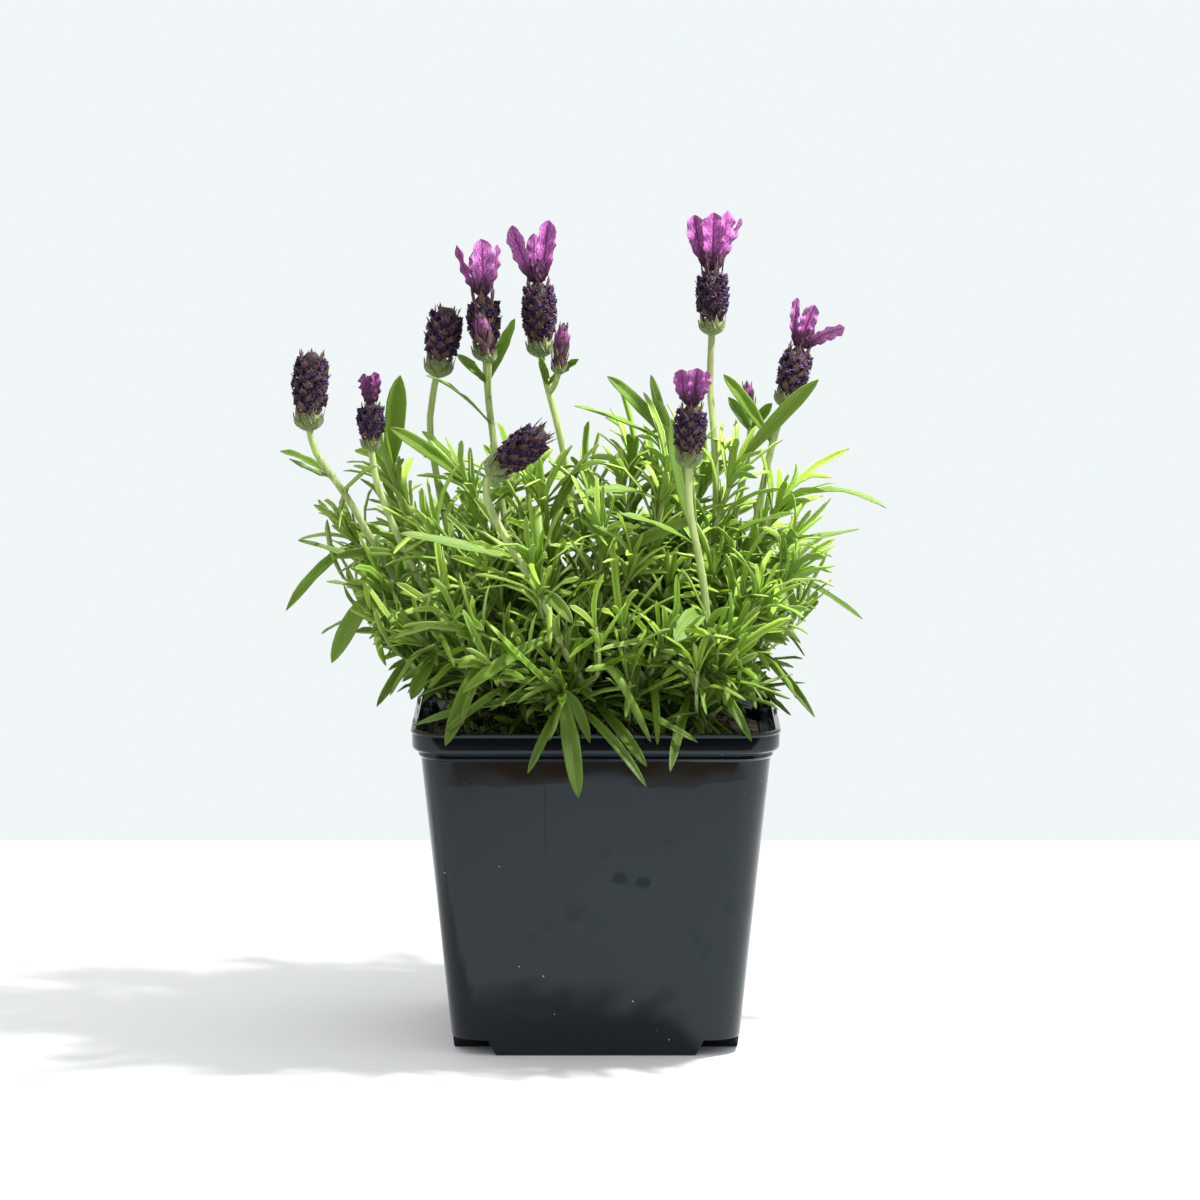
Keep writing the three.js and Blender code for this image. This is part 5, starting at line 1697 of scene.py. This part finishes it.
def make_crumbs(count):
    """Crumbs of bark and peat, scattered over the top of the soil."""
    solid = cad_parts["soil"]
    mesh = solid.data.copy()
    piece = bpy.data.objects.new("soil_crumbs", mesh)
    bpy.context.scene.collection.objects.link(piece)
    board, given, end = new_group("crumbs", {
        "Crumbs": "NodeSocketInt", "Seed": "NodeSocketInt",
        "Smallest": "NodeSocketFloat", "Largest": "NodeSocketFloat",
    })
    lump = board.add("GeometryNodeConvexHull", {}, {0: template_geometry(board, crumb_template())})
    height = board.add("GeometryNodeInputPosition").split()[2]
    top = board.add("GeometryNodeSeparateGeometry", {"domain": "FACE"},
                    {"Geometry": given["Geometry"], "Selection": height > (SOIL_TOP - 0.5) * MM})
    scatter = board.node("GeometryNodeDistributePointsOnFaces", {},
                         {"Mesh": top, "Density": given["Crumbs"] / SOIL_AREA,
                          "Seed": given["Seed"]})
    value, colour = white_noise(board, 5000)
    size = given["Smallest"] + (given["Largest"] - given["Smallest"]) * value ** 3
    spin = board.add("ShaderNodeVectorMath", {"operation": "SCALE"}, {0: colour, "Scale": 6.3})
    turn = board.add("FunctionNodeEulerToRotation", {}, {0: spin})
    crumbs = copies_on(board, Wire(board, scatter.outputs["Points"]), lump, Rotation=turn,
                       Scale=board.join(size, size * 0.8, size * 0.6))
    board.tree.links.new(painted(board, crumbs, soil_finish()).socket, end.inputs[0])
    modifier = piece.modifiers.new("crumbs", "NODES")
    modifier.node_group = board.tree
    set_inputs(modifier, {"Crumbs": count, "Seed": CRUMB_SEED, "Smallest": CRUMB_SIZES[0],
                          "Largest": CRUMB_SIZES[1]})
    freeze(piece)
    settle(piece, "soil")


# ------------------------------------------------------------ operators

class LAVENDER_OT_pot(bpy.types.Operator):
    """Makes the square pot"""

    bl_idname = "lavender.pot"
    bl_label = "Pot"

    def execute(self, context):
        make_pot()
        return {"FINISHED"}


class LAVENDER_OT_soil(bpy.types.Operator):
    """Finishes the soil and strews its crumbs"""

    bl_idname = "lavender.soil"
    bl_label = "Soil"

    def execute(self, context):
        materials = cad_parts["soil"].data.materials
        materials.clear()
        materials.append(soil_finish())
        make_crumbs(context.scene.lavender_pot.crumbs)
        return {"FINISHED"}


class LAVENDER_OT_flower_stems(bpy.types.Operator):
    """Grows the flowering stems with their leaves, side branches and green cups"""

    bl_idname = "lavender.flower_stems"
    bl_label = "Flowering stems"

    def execute(self, context):
        look = context.scene.lavender_plant
        tree = growth_tree()
        for stem, (number, (_, head, side)) in zip(all_stems(), FLOWER_STEMS.items()):
            add_stem_tube(stem, number)
            add_leaf_pairs(stem)
            add_foliage(stem, "flower")
            add_cup(stem.skeleton, HEADS[head])
            if side:
                add_side_branch(stem, Vector(HEADS[side][0]))
                add_cup(stem.skeleton, HEADS[side])
            stem.skeleton.grow(tree, f"{stem.node}_downy", "flower_stem", stem.node,
                               stem_hairs=look.stem_down)
        return {"FINISHED"}


class LAVENDER_OT_shoots(bpy.types.Operator):
    """Grows the leafy shoots"""

    bl_idname = "lavender.shoots"
    bl_label = "Leafy shoots"

    def execute(self, context):
        tree = growth_tree()
        for stem in all_stems()[len(FLOWER_STEMS):]:
            add_stem_tube(stem, None)
            add_leaf_pairs(stem)
            add_foliage(stem, "shoot")
            add_rosette(stem, count=8, length=27, width=2.8)
            stem.skeleton.grow(tree, f"{stem.node}_leafy", "shoot", stem.node)
        return {"FINISHED"}


class LAVENDER_OT_heads(bpy.types.Operator):
    """Grows the flower heads"""

    bl_idname = "lavender.heads"
    bl_label = "Flower heads"

    def execute(self, context):
        look = context.scene.lavender_plant
        tree = growth_tree()
        for number in HEADS:
            skeleton = Skeleton()
            add_head(skeleton, number)
            node = f"flower_head_{number:02d}"
            skeleton.grow(tree, f"{node}_scaly", "flower_head", node, head_hairs=look.head_down)
        return {"FINISHED"}


class LAVENDER_OT_crowns(bpy.types.Operator):
    """Grows the ear-like bracts on top of the heads"""

    bl_idname = "lavender.crowns"
    bl_label = "Bract crowns"

    def execute(self, context):
        tree = growth_tree()
        for number in CROWNS:
            skeleton = Skeleton()
            add_crown(skeleton, number)
            node = f"bract_crown_{number:02d}"
            skeleton.grow(tree, f"{node}_veined", "bract", node)
        return {"FINISHED"}


class LAVENDER_OT_stage(bpy.types.Operator):
    """Sets up the table, the light and the camera"""

    bl_idname = "lavender.stage"
    bl_label = "Stage"

    def execute(self, context):
        scene = context.scene
        look = scene.lavender_stage
        floor = new_object("table", [
            (-FLOOR_SIDE, FLOOR_FRONT, 0), (FLOOR_SIDE, FLOOR_FRONT, 0),
            (FLOOR_SIDE, FLOOR_BACK, 0), (-FLOOR_SIDE, FLOOR_BACK, 0)], [(0, 1, 2, 3)])
        floor.data.materials.append(table_finish())
        floor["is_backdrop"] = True
        camera = bpy.data.objects.new("camera", bpy.data.cameras.new("camera"))
        camera.data.lens = CAMERA_LENS
        camera.data.clip_end = 20
        camera.location = Vector(CAMERA_PLACE) * MM
        camera.rotation_euler = (math.pi / 2 - CAMERA_PITCH, 0, 0)
        scene.collection.objects.link(camera)
        scene.camera = camera
        lamp = bpy.data.objects.new("lamp", bpy.data.lights.new("lamp", "POINT"))
        lamp.data.energy = look.lamp
        lamp.data.shadow_soft_size = look.radius
        lamp.data.color = (1.0, 0.995, 0.98)
        lamp.location = look.place
        scene.collection.objects.link(lamp)
        make_studio(scene, look.fill)
        scene.view_settings.view_transform = "Standard"
        return {"FINISHED"}


def make_studio(scene, strength):
    """A white studio all round, seen as a pale wall, with the dim room behind the camera."""
    paint = PAINTS["studio"]
    scene.world = bpy.data.worlds.new("studio")
    scene.world.use_nodes = True
    board = Board(scene.world.node_tree)
    board.tree.nodes.clear()
    _, y, z = board.add("ShaderNodeTexCoord", out="Generated").split()
    path = board.node("ShaderNodeLightPath")
    mirrored = Wire(board, path.outputs["Is Glossy Ray"]) * 0.9 + 0.1
    dim = (-y).ramp(0.25, 0.7) * z.ramp(0.12, 0.45, 1, 0) * mirrored
    room = board.mix(z.ramp(-0.36, -0.26), paint["floorboards"], paint["dark"])
    light = board.add("ShaderNodeBackground", {}, {
        "Color": board.mix(dim, paint["light"], room), "Strength": strength})
    wall = board.add("ShaderNodeBackground", {}, {"Color": paint["wall"], "Strength": 1.0})
    seen = Wire(board, path.outputs["Is Camera Ray"])
    both = board.add("ShaderNodeMixShader", {}, {0: seen, 1: light, 2: wall})
    board.node("ShaderNodeOutputWorld", {}, {"Surface": both})


OPERATORS = (LAVENDER_OT_pot, LAVENDER_OT_soil, LAVENDER_OT_flower_stems, LAVENDER_OT_shoots,
             LAVENDER_OT_heads, LAVENDER_OT_crowns, LAVENDER_OT_stage)


class LAVENDER_PT_parts(bpy.types.Panel):
    """Lists the steps that make the potted lavender"""

    bl_idname = "LAVENDER_PT_parts"
    bl_label = "Potted lavender"
    bl_space_type = "VIEW_3D"
    bl_region_type = "UI"
    bl_category = "Lavender"

    def draw(self, context):
        for settings in ("lavender_pot", "lavender_plant", "lavender_stage"):
            group = getattr(context.scene, settings)
            box = self.layout.box()
            for name in group.bl_rna.properties.keys():
                if name not in ("rna_type", "name"):
                    box.prop(group, name)
        for operator in OPERATORS:
            self.layout.operator(operator.bl_idname)


SETTINGS = (PotSettings, PlantSettings, StageSettings)


def register():
    for each in (*SETTINGS, *OPERATORS, LAVENDER_PT_parts):
        bpy.utils.register_class(each)
    bpy.types.Scene.lavender_pot = PointerProperty(type=PotSettings)
    bpy.types.Scene.lavender_plant = PointerProperty(type=PlantSettings)
    bpy.types.Scene.lavender_stage = PointerProperty(type=StageSettings)


def unregister():
    del bpy.types.Scene.lavender_pot
    del bpy.types.Scene.lavender_plant
    del bpy.types.Scene.lavender_stage
    for each in reversed((*SETTINGS, *OPERATORS, LAVENDER_PT_parts)):
        bpy.utils.unregister_class(each)


def main():
    register()
    bpy.ops.lavender.stage()
    bpy.ops.lavender.pot()
    bpy.ops.lavender.soil()
    bpy.ops.lavender.flower_stems()
    bpy.ops.lavender.shoots()
    bpy.ops.lavender.heads()
    bpy.ops.lavender.crowns()
    boxes = {"cad": CAD_BOX, "visual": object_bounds()}
    {name: [list(corner) for corner in box] for name, box in boxes.items()}


if __name__ == "__main__":
    main()
